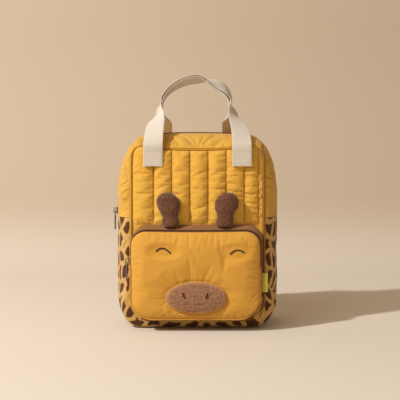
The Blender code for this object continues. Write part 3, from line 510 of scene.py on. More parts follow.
def weave_group() -> bpy.types.NodeTree:
    """Threads of a cloth: two crossing sine waves, and a third that runs slantwise."""
    sheet, given, result = new_group("threads", {"Place": "Vector", "Threads": "Float", "Slant": "Float"},
                                  {"Height": "Float", "Shade": "Float"})
    scaled = sheet.node("VectorMath", {0: given.outputs["Place"], 3: given.outputs["Threads"]},
                        operation="SCALE").outputs[0]
    split = sheet.node("SeparateXYZ", {0: scaled})
    turn = 2 * np.pi
    along = sheet.math("SINE", sheet.math("MULTIPLY", split.outputs[0], turn))
    across = sheet.math("SINE", sheet.math("MULTIPLY", split.outputs[1], turn))
    plain = sheet.math("MULTIPLY", along, across)
    both = sheet.math("ADD", split.outputs[0], split.outputs[1])
    slanted = sheet.math("SINE", sheet.math("MULTIPLY", both, turn / 2))
    weighted = sheet.math("MULTIPLY", slanted, given.outputs["Slant"])
    total = sheet.math("MULTIPLY_ADD", sheet.math("ADD", plain, weighted), 0.3, 0.5)
    uneven = sheet.node("TexNoise", {"Vector": scaled, "Scale": 0.35, "Detail": 2.0}).outputs[0]
    height = sheet.math("MULTIPLY", total, sheet.math("ADD", uneven, 0.5))
    sheet.put(result, {"Height": height, "Shade": uneven})
    return sheet.tree


def mottle_group() -> bpy.types.NodeTree:
    """Slow unevenness of dye and wear: noise with its middle range stretched from 0 to 1."""
    sheet, given, result = new_group("mottle", {"Place": "Vector", "Scale": "Float"}, {"Amount": "Float"})
    broad = sheet.node("TexNoise", {"Vector": given.outputs["Place"], "Scale": given.outputs["Scale"],
                                    "Detail": 3.0, "Roughness": 0.6}).outputs[0]
    sheet.put(result, {"Amount": sheet.ramp(broad, 0.3, 0.7)})
    return sheet.tree


def patch_group() -> bpy.types.NodeTree:
    """Animal patches: uneven cells, each drawn in from its edges by its own amount."""
    sheet, given, result = new_group("patches", {"Place": "Vector", "Cells": "Float", "Gap": "Float"},
                                  {"Patch": "Float", "Rim": "Float"})
    bend = sheet.node("TexNoise", {"Vector": given.outputs["Place"], "Scale": 110.0, "Detail": 2.0})
    offset = sheet.node("VectorMath", {0: bend.outputs["Color"], 1: (0.5, 0.5, 0.5)}, operation="SUBTRACT")
    small = sheet.node("VectorMath", {0: offset.outputs[0], 3: 0.008}, operation="SCALE")
    moved = sheet.node("VectorMath", {0: given.outputs["Place"], 1: small.outputs[0]}, operation="ADD")
    cell = {"Vector": moved.outputs[0], "Scale": given.outputs["Cells"], "Randomness": 0.85}
    edge = sheet.node("TexVoronoi", dict(cell), feature="DISTANCE_TO_EDGE", voronoi_dimensions="2D")
    own = sheet.node("TexVoronoi", dict(cell), feature="F1", voronoi_dimensions="2D")
    chance = sheet.node("SeparateColor", {0: own.outputs["Color"]}).outputs[0]
    start = sheet.math("MULTIPLY_ADD", chance, 0.07, given.outputs["Gap"])
    inside = sheet.math("SUBTRACT", edge.outputs["Distance"], start)
    sheet.put(result, {"Patch": sheet.ramp(inside, 0.0, 0.035), "Rim": sheet.ramp(inside, -0.06, 0.0)})
    return sheet.tree


def pile_group() -> bpy.types.NodeTree:
    """Short curled pile: small round tufts with fine noise over them."""
    sheet, given, result = new_group("pile", {"Place": "Vector", "Tufts": "Float"},
                                  {"Height": "Float", "Shade": "Float"})
    tuft = sheet.node("TexVoronoi", {"Vector": given.outputs["Place"], "Scale": given.outputs["Tufts"]},
                      feature="SMOOTH_F1")
    high = sheet.math("SUBTRACT", 1.0, tuft.outputs["Distance"])
    fine_scale = sheet.math("MULTIPLY", given.outputs["Tufts"], 2.2)
    fine = sheet.node("TexNoise", {"Vector": given.outputs["Place"], "Scale": fine_scale,
                                   "Detail": 4.0, "Roughness": 0.7}).outputs[0]
    total = sheet.math("ADD", sheet.math("MULTIPLY", high, 0.6), sheet.math("MULTIPLY", fine, 0.7))
    sheet.put(result, {"Height": total, "Shade": sheet.ramp(total, 0.45, 1.05)})
    return sheet.tree


@dataclass
class Wardrobe:
    """The shared node groups, made once."""

    threads: bpy.types.NodeTree = field(default_factory=weave_group)
    mottle: bpy.types.NodeTree = field(default_factory=mottle_group)
    patches: bpy.types.NodeTree = field(default_factory=patch_group)
    pile: bpy.types.NodeTree = field(default_factory=pile_group)


def start_material(name: str) -> tuple[bpy.types.Material, Sheet, bpy.types.Node]:
    """Make a material with a Principled shader.

    Args:
        name: Name of the material.

    Returns:
        The material, a sheet for its nodes, and the shader.
    """
    material = bpy.data.materials.new(name)
    material.use_nodes = True
    return material, Sheet(material.node_tree), material.node_tree.nodes["Principled BSDF"]


def wire(sheet: Sheet, shader: bpy.types.Node, colour: object, height: object, strength: float,
         distance: float) -> None:
    """Give a shader its colour and a bump from a height.

    Args:
        sheet: Sheet of the material.
        shader: The Principled shader.
        colour: Colour output.
        height: Height output, 0 to 1.
        strength: Strength of the bump.
        distance: Height of a full step, in metres.
    """
    bump = sheet.node("Bump", {"Height": height, "Strength": strength, "Distance": distance})
    sheet.put(shader, {"Normal": bump.outputs[0], "Base Color": colour})


@dataclass(frozen=True)
class ClothFinish:
    """A woven cloth. Tone 1 on the mesh marks the bottom of a fold or seam, where the colour is darkened
    towards deep as painted shade.
    """

    name: str
    colour: Colour
    # deep: painted shade colour for folds, seams and grooves, reached where the tone is 1; also the dark end
    # of the thread speckle
    deep: Colour
    faded: Colour
    threads: float
    weave: Weave = Weave.PLAIN
    roughness: float = 0.85
    sheen: float = 0.15
    relief: float = 0.0004
    bump: float = 0.5
    shine: float = 0.25
    mottling: float = 45.0
    fading: float = 0.35
    speckling: float = 0.35

    def material(self, wardrobe: Wardrobe) -> bpy.types.Material:
        """Build the material from the shared groups."""
        made, sheet, shader = start_material(self.name)
        place = sheet.node("UVMap", uv_map="cloth").outputs[0]
        threads = sheet.node("Group", {"Place": place, "Threads": self.threads, "Slant": self.weave.value},
                             node_tree=wardrobe.threads)
        solid = sheet.node("TexCoord").outputs["Object"]
        mottle = sheet.node("Group", {"Place": solid, "Scale": self.mottling}, node_tree=wardrobe.mottle)
        tone = sheet.node("Attribute", attribute_name="tone").outputs["Fac"]
        worn = sheet.math("MULTIPLY", mottle.outputs[0], self.fading)
        colour = sheet.mix(worn, self.colour, self.faded)
        shade = sheet.math("SUBTRACT", threads.outputs["Shade"], 0.4)
        colour = sheet.mix(sheet.math("MULTIPLY", shade, self.speckling), colour, self.deep)
        # Painted shade: the tone darkens the colour towards deep in folds, seams and grooves.
        colour = sheet.mix(sheet.ramp(tone, 0.0, 1.0), colour, self.deep)
        wire(sheet, shader, colour, threads.outputs["Height"], self.bump, self.relief)
        sheet.put(shader, {"Roughness": self.roughness, "Sheen Weight": self.sheen,
                           "Specular IOR Level": self.shine})
        return made


@dataclass(frozen=True)
class PrintFinish:
    """Cloth printed with brown animal patches on a tan ground."""

    name: str
    ground: Colour
    rim: Colour
    patch: Colour
    threads: float
    cells: float
    gap: float
    slant: float = 0.2
    stretch: tuple[float, float, float] = (0.72, 1.15, 1.0)
    mottling: float = 160.0
    wear: float = 0.4
    worn: Colour = (0.62, 0.58, 0.55)
    relief: float = 0.0004
    bump: float = 0.5
    roughness: float = 0.85
    sheen: float = 0.1
    shine: float = 0.25

    def material(self, wardrobe: Wardrobe) -> bpy.types.Material:
        """Build the material from the shared groups."""
        made, sheet, shader = start_material(self.name)
        place = sheet.node("UVMap", uv_map="cloth").outputs[0]
        stretched = sheet.node("Mapping", {0: place, 3: self.stretch}).outputs[0]
        patches = sheet.node("Group", {"Place": stretched, "Cells": self.cells, "Gap": self.gap},
                             node_tree=wardrobe.patches)
        threads = sheet.node("Group", {"Place": place, "Threads": self.threads, "Slant": self.slant},
                             node_tree=wardrobe.threads)
        solid = sheet.node("TexCoord").outputs["Object"]
        mottle = sheet.node("Group", {"Place": solid, "Scale": self.mottling}, node_tree=wardrobe.mottle)
        ground = sheet.mix(patches.outputs["Rim"], self.rim, self.ground)
        colour = sheet.mix(patches.outputs["Patch"], ground, self.patch)
        darker = sheet.mix(1.0, colour, self.worn, "MULTIPLY")
        colour = sheet.mix(sheet.math("MULTIPLY", mottle.outputs[0], self.wear), colour, darker)
        wire(sheet, shader, colour, threads.outputs["Height"], self.bump, self.relief)
        sheet.put(shader, {"Roughness": self.roughness, "Sheen Weight": self.sheen,
                           "Specular IOR Level": self.shine})
        return made


@dataclass(frozen=True)
class PlushFinish:
    """Short curled pile, lighter at its tips and darker between the tufts: its own colour, with painted shade
    in the hollows. Tone 1 on the mesh marks the worn border.
    """

    name: str
    root: Colour
    tip: Colour
    border: Colour
    tufts: float
    relief: float = 0.0016
    bump: float = 0.8
    roughness: float = 0.95
    sheen: float = 0.2
    sheen_roughness: float = 0.6
    shine: float = 0.1

    def material(self, wardrobe: Wardrobe) -> bpy.types.Material:
        """Build the material from the shared groups."""
        made, sheet, shader = start_material(self.name)
        solid = sheet.node("TexCoord").outputs["Object"]
        pile = sheet.node("Group", {"Place": solid, "Tufts": self.tufts}, node_tree=wardrobe.pile)
        # Low places between the tufts take the root colour: the pile's darker roots, plus painted shade in
        # the hollows.
        colour = sheet.mix(pile.outputs["Shade"], self.root, self.tip)
        tone = sheet.node("Attribute", attribute_name="tone").outputs["Fac"]
        colour = sheet.mix(tone, colour, self.border)
        wire(sheet, shader, colour, pile.outputs["Height"], self.bump, self.relief)
        sheet.put(shader, {"Roughness": self.roughness, "Sheen Weight": self.sheen,
                           "Sheen Roughness": self.sheen_roughness, "Specular IOR Level": self.shine})
        return made


@dataclass(frozen=True)
class HardFinish:
    """Metal or plastic with fine scratches and uneven gloss."""

    name: str
    colour: Colour
    worn: Colour
    metallic: float
    roughness: float
    grain: float = 900.0
    scratches: float = 3.0
    unevenness: float = 0.2
    relief: float = 0.0001
    bump: float = 0.25

    def material(self, wardrobe: Wardrobe) -> bpy.types.Material:
        """Build the material from the shared groups."""
        made, sheet, shader = start_material(self.name)
        place = sheet.node("TexCoord").outputs["Object"]
        mottle = sheet.node("Group", {"Place": place, "Scale": self.grain}, node_tree=wardrobe.mottle)
        fine = sheet.node("TexNoise", {"Vector": place, "Scale": self.grain * self.scratches,
                                       "Detail": 3.0}).outputs[0]
        colour = sheet.mix(mottle.outputs[0], self.colour, self.worn)
        wire(sheet, shader, colour, fine, self.bump, self.relief)
        rough = sheet.math("MULTIPLY_ADD", mottle.outputs[0], self.unevenness, self.roughness)
        sheet.put(shader, {"Roughness": rough, "Metallic": self.metallic})
        return made


@dataclass
class Finishes:
    """Every finish of the bag, by the part that it dresses."""

    wardrobe: Wardrobe = field(default_factory=Wardrobe)

    def __post_init__(self) -> None:
        """Make each material once."""
        mustard = (0.715, 0.388, 0.050)
        finishes = {
            "quilt": ClothFinish("quilt_cloth", mustard, (0.30, 0.125, 0.012), (0.80, 0.49, 0.095), 1500.0),
            # The side bands are the same mustard cloth as the quilt, painted darker: painted shade on the
            # bands.
            "gusset": ClothFinish("gusset_cloth", (0.645, 0.355, 0.045), (0.27, 0.11, 0.010),
                                  (0.70, 0.42, 0.075), 1500.0),
            "pocket": ClothFinish("pocket_twill", (0.665, 0.335, 0.043), (0.33, 0.13, 0.014),
                                  (0.72, 0.39, 0.062), 1400.0, Weave.TWILL, 0.8),
            # The piping is the same mustard cloth, painted a little darker as painted shade for the groove it
            # lies in.
            "piping": ClothFinish("piping_cloth", (0.66, 0.35, 0.048), (0.22, 0.085, 0.010),
                                  (0.70, 0.40, 0.07), 1500.0),
            "back": ClothFinish("back_cloth_looks", (0.55, 0.28, 0.045), (0.24, 0.10, 0.012),
                                (0.60, 0.33, 0.07), 1100.0, Weave.TWILL, 0.9),
            "webbing": ClothFinish("webbing_looks", (0.63, 0.565, 0.490), (0.42, 0.32, 0.21),
                                   (0.69, 0.63, 0.55), 620.0, Weave.RIB, 0.8, 0.25, 0.0006),
            "tape": ClothFinish("tape_looks", (0.26, 0.112, 0.032), (0.09, 0.035, 0.012),
                                (0.31, 0.145, 0.045), 1500.0, Weave.TWILL, 0.85),
            "teeth": ClothFinish("teeth_looks", (0.060, 0.026, 0.012), (0.02, 0.008, 0.004),
                                 (0.09, 0.045, 0.02), 1500.0, Weave.PLAIN, 0.5, 0.0),
            "thread": ClothFinish("dark_thread_looks", (0.040, 0.017, 0.010), (0.015, 0.006, 0.004),
                                  (0.06, 0.03, 0.015), 2500.0, Weave.RIB, 0.7),
            "seam": ClothFinish("seam_thread", (0.60, 0.30, 0.05), (0.30, 0.13, 0.02),
                                (0.66, 0.36, 0.08), 2500.0, Weave.RIB, 0.7),
            "cream_thread": ClothFinish("cream_thread", (0.46, 0.39, 0.30), (0.30, 0.24, 0.17),
                                        (0.52, 0.45, 0.36), 2500.0, Weave.RIB, 0.7),
            "tag": ClothFinish("tag_looks", (0.88, 0.86, 0.13), (0.50, 0.47, 0.03),
                               (0.85, 0.82, 0.20), 1800.0, Weave.PLAIN, 0.6),
            "print": PrintFinish("giraffe_print", (0.53, 0.28, 0.062), (0.62, 0.38, 0.13),
                                 (0.085, 0.030, 0.010), 1500.0, 55.0, 0.12),
            "horn": PlushFinish("horn_pile", (0.085, 0.028, 0.012), (0.23, 0.095, 0.045),
                                (0.16, 0.06, 0.03), 520.0),
            "muzzle": PlushFinish("muzzle_pile", (0.24, 0.105, 0.050), (0.46, 0.25, 0.135),
                                  (0.52, 0.27, 0.12), 480.0),
            "metal": HardFinish("gunmetal_looks", (0.16, 0.14, 0.12), (0.34, 0.30, 0.26), 1.0, 0.28),
            "plastic": HardFinish("buckle_looks", (0.045, 0.032, 0.024), (0.07, 0.05, 0.04), 0.0, 0.42),
        }
        self.made = {key: finish.material(self.wardrobe) for key, finish in finishes.items()}

    def __getitem__(self, key: str) -> bpy.types.Material:
        """Return one material."""
        return self.made[key]


def dress(piece: bpy.types.Object, slot: Slot, replaced: tuple[str, ...] = (),
          body: str = BAG) -> bpy.types.Object:
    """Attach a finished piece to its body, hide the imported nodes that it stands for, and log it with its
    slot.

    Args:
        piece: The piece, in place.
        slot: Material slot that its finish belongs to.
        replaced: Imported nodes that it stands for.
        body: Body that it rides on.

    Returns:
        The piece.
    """
    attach(piece, body)
    if replaced:
        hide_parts(*replaced)
    log.info("%s: %d faces, slot %s, for %s", piece.name, len(piece.data.polygons), slot.value,
             ", ".join(replaced) or "nothing")
    return piece


def stitches(work: Patchwork, path: Array, lift: Array, length: float = 0.0026, pitch: float = 0.0036,
             radius: float = 0.00035) -> None:
    """Add a row of stitches along a path: short six-sided spindles, sunk at both ends.

    Args:
        work: Patchwork that takes them.
        path: Points of the seam.
        lift: Outward unit normals along the path.
        length: Length of a stitch.
        pitch: From one stitch to the next.
        radius: Radius of the thread.
    """
    count = max(int(measured(path)[-1] / pitch), 2)
    both = resample(np.hstack([path, np.broadcast_to(lift, path.shape)]), 2 * count + 1)
    middles = both[1::2]
    ways = unit(both[2::2, :3] - both[:-2:2, :3])
    up = unit(middles[:, 3:])
    side = unit(np.cross(ways, up))
    along = np.array([-0.5, -0.25, 0.25, 0.5])
    thick = np.array([0.35, 1.0, 1.0, 0.35])
    sunk = np.array([-0.8, 0.0, 0.0, -0.8]) * radius
    turn = np.linspace(0, 2 * np.pi, 6, endpoint=False)
    ring = turned(side[:, None, None], up[:, None, None], turn)
    rings = (middles[:, None, None, :3] + ways[:, None, None] * (along * length)[:, None, None]
             + up[:, None, None] * sunk[:, None, None] + ring * (radius * thick)[:, None, None])
    number = np.arange(24).reshape(4, 6)
    beside = np.roll(number, -1, axis=1)
    sides = np.stack([number[:-1], beside[:-1], beside[1:], number[1:]], axis=-1).reshape(-1, 4)
    caps = np.array([[0, 1, 2, 3], [0, 3, 4, 5], [21, 20, 19, 18], [23, 22, 21, 18]])
    faces = np.vstack([sides, caps[:, ::-1]])
    every = (faces[None] + 24 * np.arange(len(middles))[:, None, None]).reshape(-1, 4)
    work.add(rings.reshape(-1, 3), every)


def round_tube(path: Array, radius: float | Array, sides: int, guide: Array) -> Array:
    """Rings of a round tube along a path.

    Each ring is the circle cos t times the side direction plus sin t times the guide direction.

    Args:
        path: Middle line.
        radius: Radius, or one for each station.
        sides: Points in a ring.
        guide: A direction that is never along the path, or one for each station.

    Returns:
        Stations by sides by 3.
    """
    along = unit(np.gradient(path, axis=0))
    side = unit(np.cross(along, np.broadcast_to(guide, path.shape)))
    up = unit(np.cross(side, along))
    turn = np.linspace(0.0, 2 * np.pi, sides, endpoint=False)
    circle = turned(side[:, None], up[:, None], turn)
    return path[:, None] + circle * np.broadcast_to(radius, len(path))[:, None, None]


# Form of the bag, shared by its parts

@dataclass(frozen=True)
class Outline:
    """A rounded upright outline in X and Z, with elliptical corners and an arched top."""

    half_width: float
    bottom: float
    top: float
    arch: float
    arch_power: float
    low_corner: tuple[float, float]
    high_corner: tuple[float, float]

    def inset(self, margin: float) -> Outline:
        """The same outline, moved inwards all round."""
        low = tuple(size - margin for size in self.low_corner)
        high = tuple(size - margin for size in self.high_corner)
        return Outline(self.half_width - margin, self.bottom + margin, self.top - margin, self.arch,
                       self.arch_power, low, high)

    def drawn_in(self, x: Array, corner: tuple[float, float]) -> Array:
        """How far an elliptical corner, so wide and so high, draws the edge in at x."""
        across, up = corner
        share = np.clip((np.abs(x) - self.half_width + across) / across, 0.0, 1.0)
        return up * (1 - np.sqrt(1 - share ** 2))

    def top_at(self, x: Array) -> Array:
        """Height of the top edge: an elliptical corner, plus the arch."""
        whole = np.clip(np.abs(x) / self.half_width, 0.0, 1.0)
        arch = self.arch * (1 - whole ** self.arch_power)
        return self.top - self.drawn_in(x, self.high_corner) + arch

    def bottom_at(self, x: Array) -> Array:
        """Height of the bottom edge: flat, with elliptical corners."""
        return self.bottom + self.drawn_in(x, self.low_corner)

    def half(self) -> Array:
        """Right half, from the bottom centre to the top centre."""
        x = self.half_width * np.sin(np.linspace(0.0, np.pi / 2, 400))
        low = np.stack([x, self.bottom_at(x)], axis=1)
        high = np.stack([x[::-1], self.top_at(x[::-1])], axis=1)
        return np.vstack([low, high])

    def cut(self, level: float) -> tuple[Array, Array]:
        """Split the right half at a height: the part below and the part above."""
        half = self.half()
        index = int(np.argmax(half[:, 1] > level))
        share = (level - half[index - 1, 1]) / (half[index, 1] - half[index - 1, 1])
        point = half[index - 1] + share * (half[index] - half[index - 1])
        return np.vstack([half[:index], point]), np.vstack([point, half[index:]])

    def over(self, level: float, count: int) -> Array:
        """From the left side at a height, over the top, to the right side."""
        above = self.cut(level)[1]
        return resample(np.vstack([above * MIRROR, above[::-1][1:]]), count)

    def under(self, level: float, count: int) -> Array:
        """From the left side at a height, under the bottom, to the right side."""
        below = self.cut(level)[0]
        return resample(np.vstack([below[::-1] * MIRROR, below[1:]]), count)

    def loop(self, count: int) -> Array:
        """All the way round."""
        half = self.half()
        return resample(np.vstack([half, half[::-1][1:-1] * MIRROR]), count, closed=True)


@dataclass(frozen=True)
class BagForm:
    """Driving sizes of the whole bag and the surfaces that its parts share."""

    seam_half_width: float = 0.103
    panel_top: float = 0.289
    panel_bottom: float = 0.014
    panel_sag: float = 0.011
    zip_half_width: float = 0.1265
    zip_top: float = 0.296
    zip_arch: float = 0.007
    back_half_width: float = 0.105
    back_top: float = 0.287
    back_bottom: float = 0.012
    back_arch: float = 0.006
    depth: float = 0.112
    side_seam: float = 0.172
    gap: float = 0.0004
    seam_ease: float = 0.0005
    piping_radius: float = 0.0016
    panel_wall: float = 0.005
    back_wall: float = 0.006
    panel_dome: float = 0.003
    quilt_relief: float = 0.0034
    pocket_seam_top: float = 0.1615
    swell: float = 1.02
    boxy_base: float = 5.2
    round_top: float = 2.1
    base_height: float = 0.060

    @property
    def front(self) -> Outline:
        """Outline of the front panel's seam."""
        return Outline(self.seam_half_width, self.panel_bottom, self.panel_top, arch=-self.panel_sag,
                       arch_power=3.0, low_corner=(0.030, 0.030), high_corner=(0.021, 0.025))

    @property
    def zip(self) -> Outline:
        """Outline of the widest line, along the main zip."""
        return Outline(self.zip_half_width, 0.0, self.zip_top, arch=self.zip_arch, arch_power=2.0,
                       low_corner=(0.036, 0.056), high_corner=(0.050, 0.090))

    @property
    def back(self) -> Outline:
        """Outline of the back panel's seam."""
        return Outline(self.back_half_width, self.back_bottom, self.back_top, arch=self.back_arch,
                       arch_power=2.0, low_corner=(0.030, 0.030), high_corner=(0.032, 0.040))

    @property
    def centre(self) -> Array:
        """Middle of the bag."""
        return np.array([0.0, 0.0, (self.panel_top + self.panel_bottom) / 2])

    @property
    def front_y(self) -> float:
        """Place of the front seam."""
        return -self.depth / 2

    @property
    def panel_face(self) -> float:
        """Flat face of the front panel, without its dome and channels."""
        return self.front_y - self.panel_wall / 2

    @property
    def back_face(self) -> float:
        """Face of the back panel."""
        return self.depth / 2 + self.back_wall / 2

    def dome(self, x: Array, z: Array) -> Array:
        """Fullness of the front panel: one less the fourth power of the way out, both ways."""
        middle = (self.panel_top + self.panel_bottom) / 2
        reach = (self.panel_top - self.panel_bottom) / 2
        across = np.clip(1 - (x / self.seam_half_width) ** 4, 0, 1)
        return self.panel_dome * across * np.clip(1 - ((z - middle) / reach) ** 4, 0, 1)

    def section_power(self, middle: Array) -> Array:
        """Power of the side band's section along the zip line: boxy at the base, round above."""
        fall = self.boxy_base - self.round_top
        return self.boxy_base - fall * smoothstep(0.0, self.base_height, middle[:, 1])

    def band(self, lines: tuple[Array, Array, Array], depths: Array) -> Array:
        """The bag's side band between its seams.

        At each station the band leaves the seam along a superellipse towards the zip line:
        the way out is swell times (1 - t^n)^(1/n), where t is the distance from the middle of
        the depth and n is the section's power.

        Args:
            lines: Front seam, zip line and back seam, each stations by 2.
            depths: Shares of the depth, one row for all stations or one for each.

        Returns:
            The grid, stations by depths by 3.
        """
        front, middle, back = lines
        power = self.section_power(middle)[:, None]
        depths = np.broadcast_to(depths, (len(middle), np.shape(depths)[-1]))
        inner = np.abs(1 - 2 * depths)
        out = np.minimum(1.0, self.swell * (1 - inner ** power) ** (1 / power))
        seam = np.where((depths <= 0.5)[..., None], front[:, None], back[:, None])
        swollen = seam + (middle[:, None] - seam) * out[..., None]
        return np.stack([swollen[..., 0], (depths - 0.5) * self.depth, swollen[..., 1]], axis=-1)

    def seam_start(self, seam: Array, middle: Array, clear: float) -> Array:
        """Share of the depth at each station where a band is clear of its piping."""
        power = self.section_power(middle)
        reach = np.linalg.norm(middle - seam, axis=1)
        share = np.minimum(clear / reach / self.swell, 0.9)
        return (1 - (1 - share ** power) ** (1 / power)) / 2

    def lines(self, level: float, count: int, over: bool) -> tuple[Array, Array, Array]:
        """Front, zip and back lines, over the top or under the base."""
        return tuple(line.over(level, count) if over else line.under(level, count)
                     for line in (self.front, self.zip, self.back))

    @staticmethod
    def spread(start: Array | float, stop: Array | float, count: int) -> Array:
        """Depth shares between two limits, closer together near a seam."""
        first = np.arccos(1 - 2 * np.atleast_1d(np.asarray(start, dtype=float)))[:, None]
        last = np.arccos(1 - 2 * np.atleast_1d(np.asarray(stop, dtype=float)))[:, None]
        return (1 - np.cos(first + (last - first) * np.linspace(0.0, 1.0, count))) / 2


# Front: quilted panel and piping

@dataclass
class QuiltedFront:
    """The front panel, sewn into upright channels that pucker along their seams."""

    form: BagForm
    finishes: Finishes
    first_seam: float = -0.0678
    seam_pitch: float = 0.02805
    seams: int = 6
    border: float = 0.0085
    relief: float = 0.0038
    pucker: float = 0.0011
    pucker_length: float = 0.0038
    fall: float = 0.0034
    seam_reach: float = 0.0055
    seam_shade: float = 0.0012
    rim_depth: float = 0.0028
    rim_width: float = 0.004
    sewn_edge: float = 0.0015
    sewn_seam: float = 0.0006
    channel_columns: int = 20
    slanted: Ripple = Ripple(0.0006, 0.03, 0.0085, 5.0)
    broad: Ripple = Ripple(0.0005, 0.022, 0.035, 9.0)
    fullness_power: float = 0.45
    filling: Settling = Settling(pressure=1.2, growth=0.027, most=0.0022)

    def seam_places(self) -> Array:
        """X of every upright seam, with both edges of the panel."""
        edge = self.form.seam_half_width
        inner = self.first_seam + self.seam_pitch * np.arange(self.seams)
        return np.concatenate([[-edge], inner, [edge - self.border, edge]])

    def channel(self, x: Array) -> tuple[Array, Array, Array]:
        """Place in a channel.

        Returns:
            The fullness of the channel (a power of 4 t (1 - t), less in a narrow channel), the
            distance to the nearest seam, and the number of the channel.
        """
        places = self.seam_places()
        number = np.clip(np.searchsorted(places, x) - 1, 0, len(places) - 2)
        low, high = places[number], places[number + 1]
        share = np.clip((x - low) / (high - low), 0.0, 1.0)
        wide = np.clip((high - low) / self.seam_pitch, 0.0, 1.0)
        full = (4 * share * (1 - share)) ** self.fullness_power * wide ** 0.7
        return full, np.minimum(x - low, high - x), number

    def face(self, x: Array, z: Array) -> tuple[Array, Array]:
        """Outer face of the panel.

        Returns:
            How far forward each point stands, and its tone: painted shade, 1 in a seam.
        """
        full, near, number = self.channel(x)
        top = self.form.front.top_at(x)
        above = smoothstep(self.form.pocket_seam_top, self.form.pocket_seam_top + 0.010, z)
        below = 1 - smoothstep(-0.010, 0.0, z - top)
        seam = number + (near < 0)
        close = np.exp(-near / self.seam_reach)
        bend = 0.35 * noise(x / 0.01, z / 0.02, 3.0)
        waves = noise(x / 0.042 + 7.0 * seam, z / self.pucker_length + bend, 1.0)
        right = 0.45 + 0.95 * smoothstep(0.015, 0.06, x)
        puckers = (self.pucker * waves * (0.35 + 0.9 * close) * right
                   + self.slanted.at(x + 0.5 * z, z - 0.35 * x) + self.broad.at(x, z))
        puckers = puckers * np.clip(near / 0.0014, 0.0, 1.0)
        height = (self.relief * full + puckers) * (0.25 + 0.75 * above) * (0.55 + 0.45 * below)
        edge = smoothstep(0.35, 1.0, np.abs(x) / self.form.seam_half_width)
        stand = self.form.panel_face - self.form.dome(x, z) - height + self.fall * edge
        # Painted shade: darkest at the bottom of each channel seam, above the pocket.
        tone = 0.75 * np.exp(-np.maximum(near, 0) / self.seam_shade) * above
        return stand, tone

    def build(self) -> None:
        """Make the panel, the stitches of its channels and its piping."""
        form = self.form
        inside = form.front.inset(form.piping_radius + form.gap + form.seam_ease)
        places = np.clip(self.seam_places(), -inside.half_width, inside.half_width)
        shares = np.linspace(0.0, 1.0, self.channel_columns, endpoint=False)
        columns = [low + (high - low) * shares for low, high in zip(places[:-1], places[1:])]
        x = np.concatenate([*columns, [inside.half_width]])
        low, high = inside.bottom_at(x)[:, None], inside.top_at(x)[:, None]
        level = form.pocket_seam_top - 0.012
        lower = np.linspace(0.0, 1.0, 26)[None, :]
        upper = np.linspace(0.0, 1.0, 126)[None, 1:]
        z = np.hstack([low + (level - low) * lower, level + (high - level) * upper])
        x = np.repeat(x[:, None], z.shape[1], axis=1)
        y, tone = self.face(x, z)
        sides = np.minimum(inside.half_width - np.abs(x), z - low)
        rim = np.clip(1 - sides / self.rim_width, 0, 1) ** 2
        rim += 0.3 * np.clip(1 - (high - z) / 0.0025, 0, 1) ** 2
        y = np.minimum(y + self.rim_depth * rim, form.front_y - form.gap)
        outer = np.stack([x, y, z], axis=-1)
        held = np.minimum(sides, high - z) < self.sewn_edge
        held |= np.abs(x[..., None] - places[1:-1]).min(axis=-1) < self.sewn_seam
        held |= z < form.pocket_seam_top
        outer = self.filling.settle(outer, held, FORWARD)
        inner = np.stack([x, np.full_like(x, form.panel_face + form.panel_wall), z], axis=-1)
        work = Patchwork()
        work.add_wall(outer, inner, tone, flat=np.stack([x, z], axis=-1))
        panel = work.build("quilted_front", self.finishes["quilt"])
        dress(panel, Slot.PADDED, ("front_panel",))
        self.seams_sewn()
        Piping(form, self.finishes).build("front_cord", "front_piping", form.front, form.front_y)

    def seams_sewn(self) -> None:
        """Rows of small stitches at the bottom of every seam."""
        form = self.form
        work = Patchwork()
        for place in self.seam_places()[1:-1]:
            top = float(form.front.top_at(np.array(place))) - 0.005
            z = np.linspace(form.pocket_seam_top + 0.004, top, 60)
            x = np.full_like(z, place)
            y, _ = self.face(x, z)
            stitches(work, np.stack([x, y - 0.0001, z], axis=1), FORWARD)
        dress(work.build("quilting_stitches", self.finishes["seam"]), Slot.PADDED)


@dataclass
class Piping:
    """A round cord covered in cloth, in a seam of the bag."""

    form: BagForm
    finishes: Finishes
    stations: int = 420
    sides: int = 12
    fullness: float = 1.35
    sunk_on_top: float = 0.0007

    def build(self, name: str, node: str, outline: Outline, y: float) -> None:
        """Make the cord as a closed tube.

        Args:
            name: Name of the piece.
            node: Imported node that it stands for.
            outline: Line of the seam.
            y: Place of the seam.
        """
        loop = outline.loop(self.stations)
        length = np.arange(self.stations) * 2 * np.pi / self.stations
        uneven = 1 + 0.05 * np.sin(37 * length) * np.sin(5 * length)
        top = smoothstep(outline.top - 0.016, outline.top - 0.011, loop[:, 1])
        path = np.stack([loop[:, 0], y - np.sign(y) * self.sunk_on_top * top, loop[:, 1]], axis=1)
        along = unit(np.roll(path, -1, axis=0) - np.roll(path, 1, axis=0))
        guide = np.broadcast_to(BACKWARD, path.shape)
        side = unit(np.cross(along, guide))
        turn = np.linspace(0.0, 2 * np.pi, self.sides, endpoint=False)
        circle = turned(side[:, None], guide[:, None], turn)
        rings = path[:, None] + circle * (self.form.piping_radius * self.fullness * uneven)[:, None, None]
        # Painted shade: the cord is darker along both sides, more on the right away from the lamp, and
        # darkest along the bottom.
        low = smoothstep(0.90, 0.98, np.abs(loop[:, 0]) / outline.half_width)
        right = loop[:, 0] > 0
        tone = np.maximum((0.35 + 0.4 * right) * low, 0.9 * (loop[:, 1] < outline.bottom + 0.004))
        work = Patchwork()
        work.add_tube(rings, closed=True, tone=tone)
        dress(work.build(name, self.finishes["piping"]), Slot.PADDED, (node,))


# Side bands and the main zip

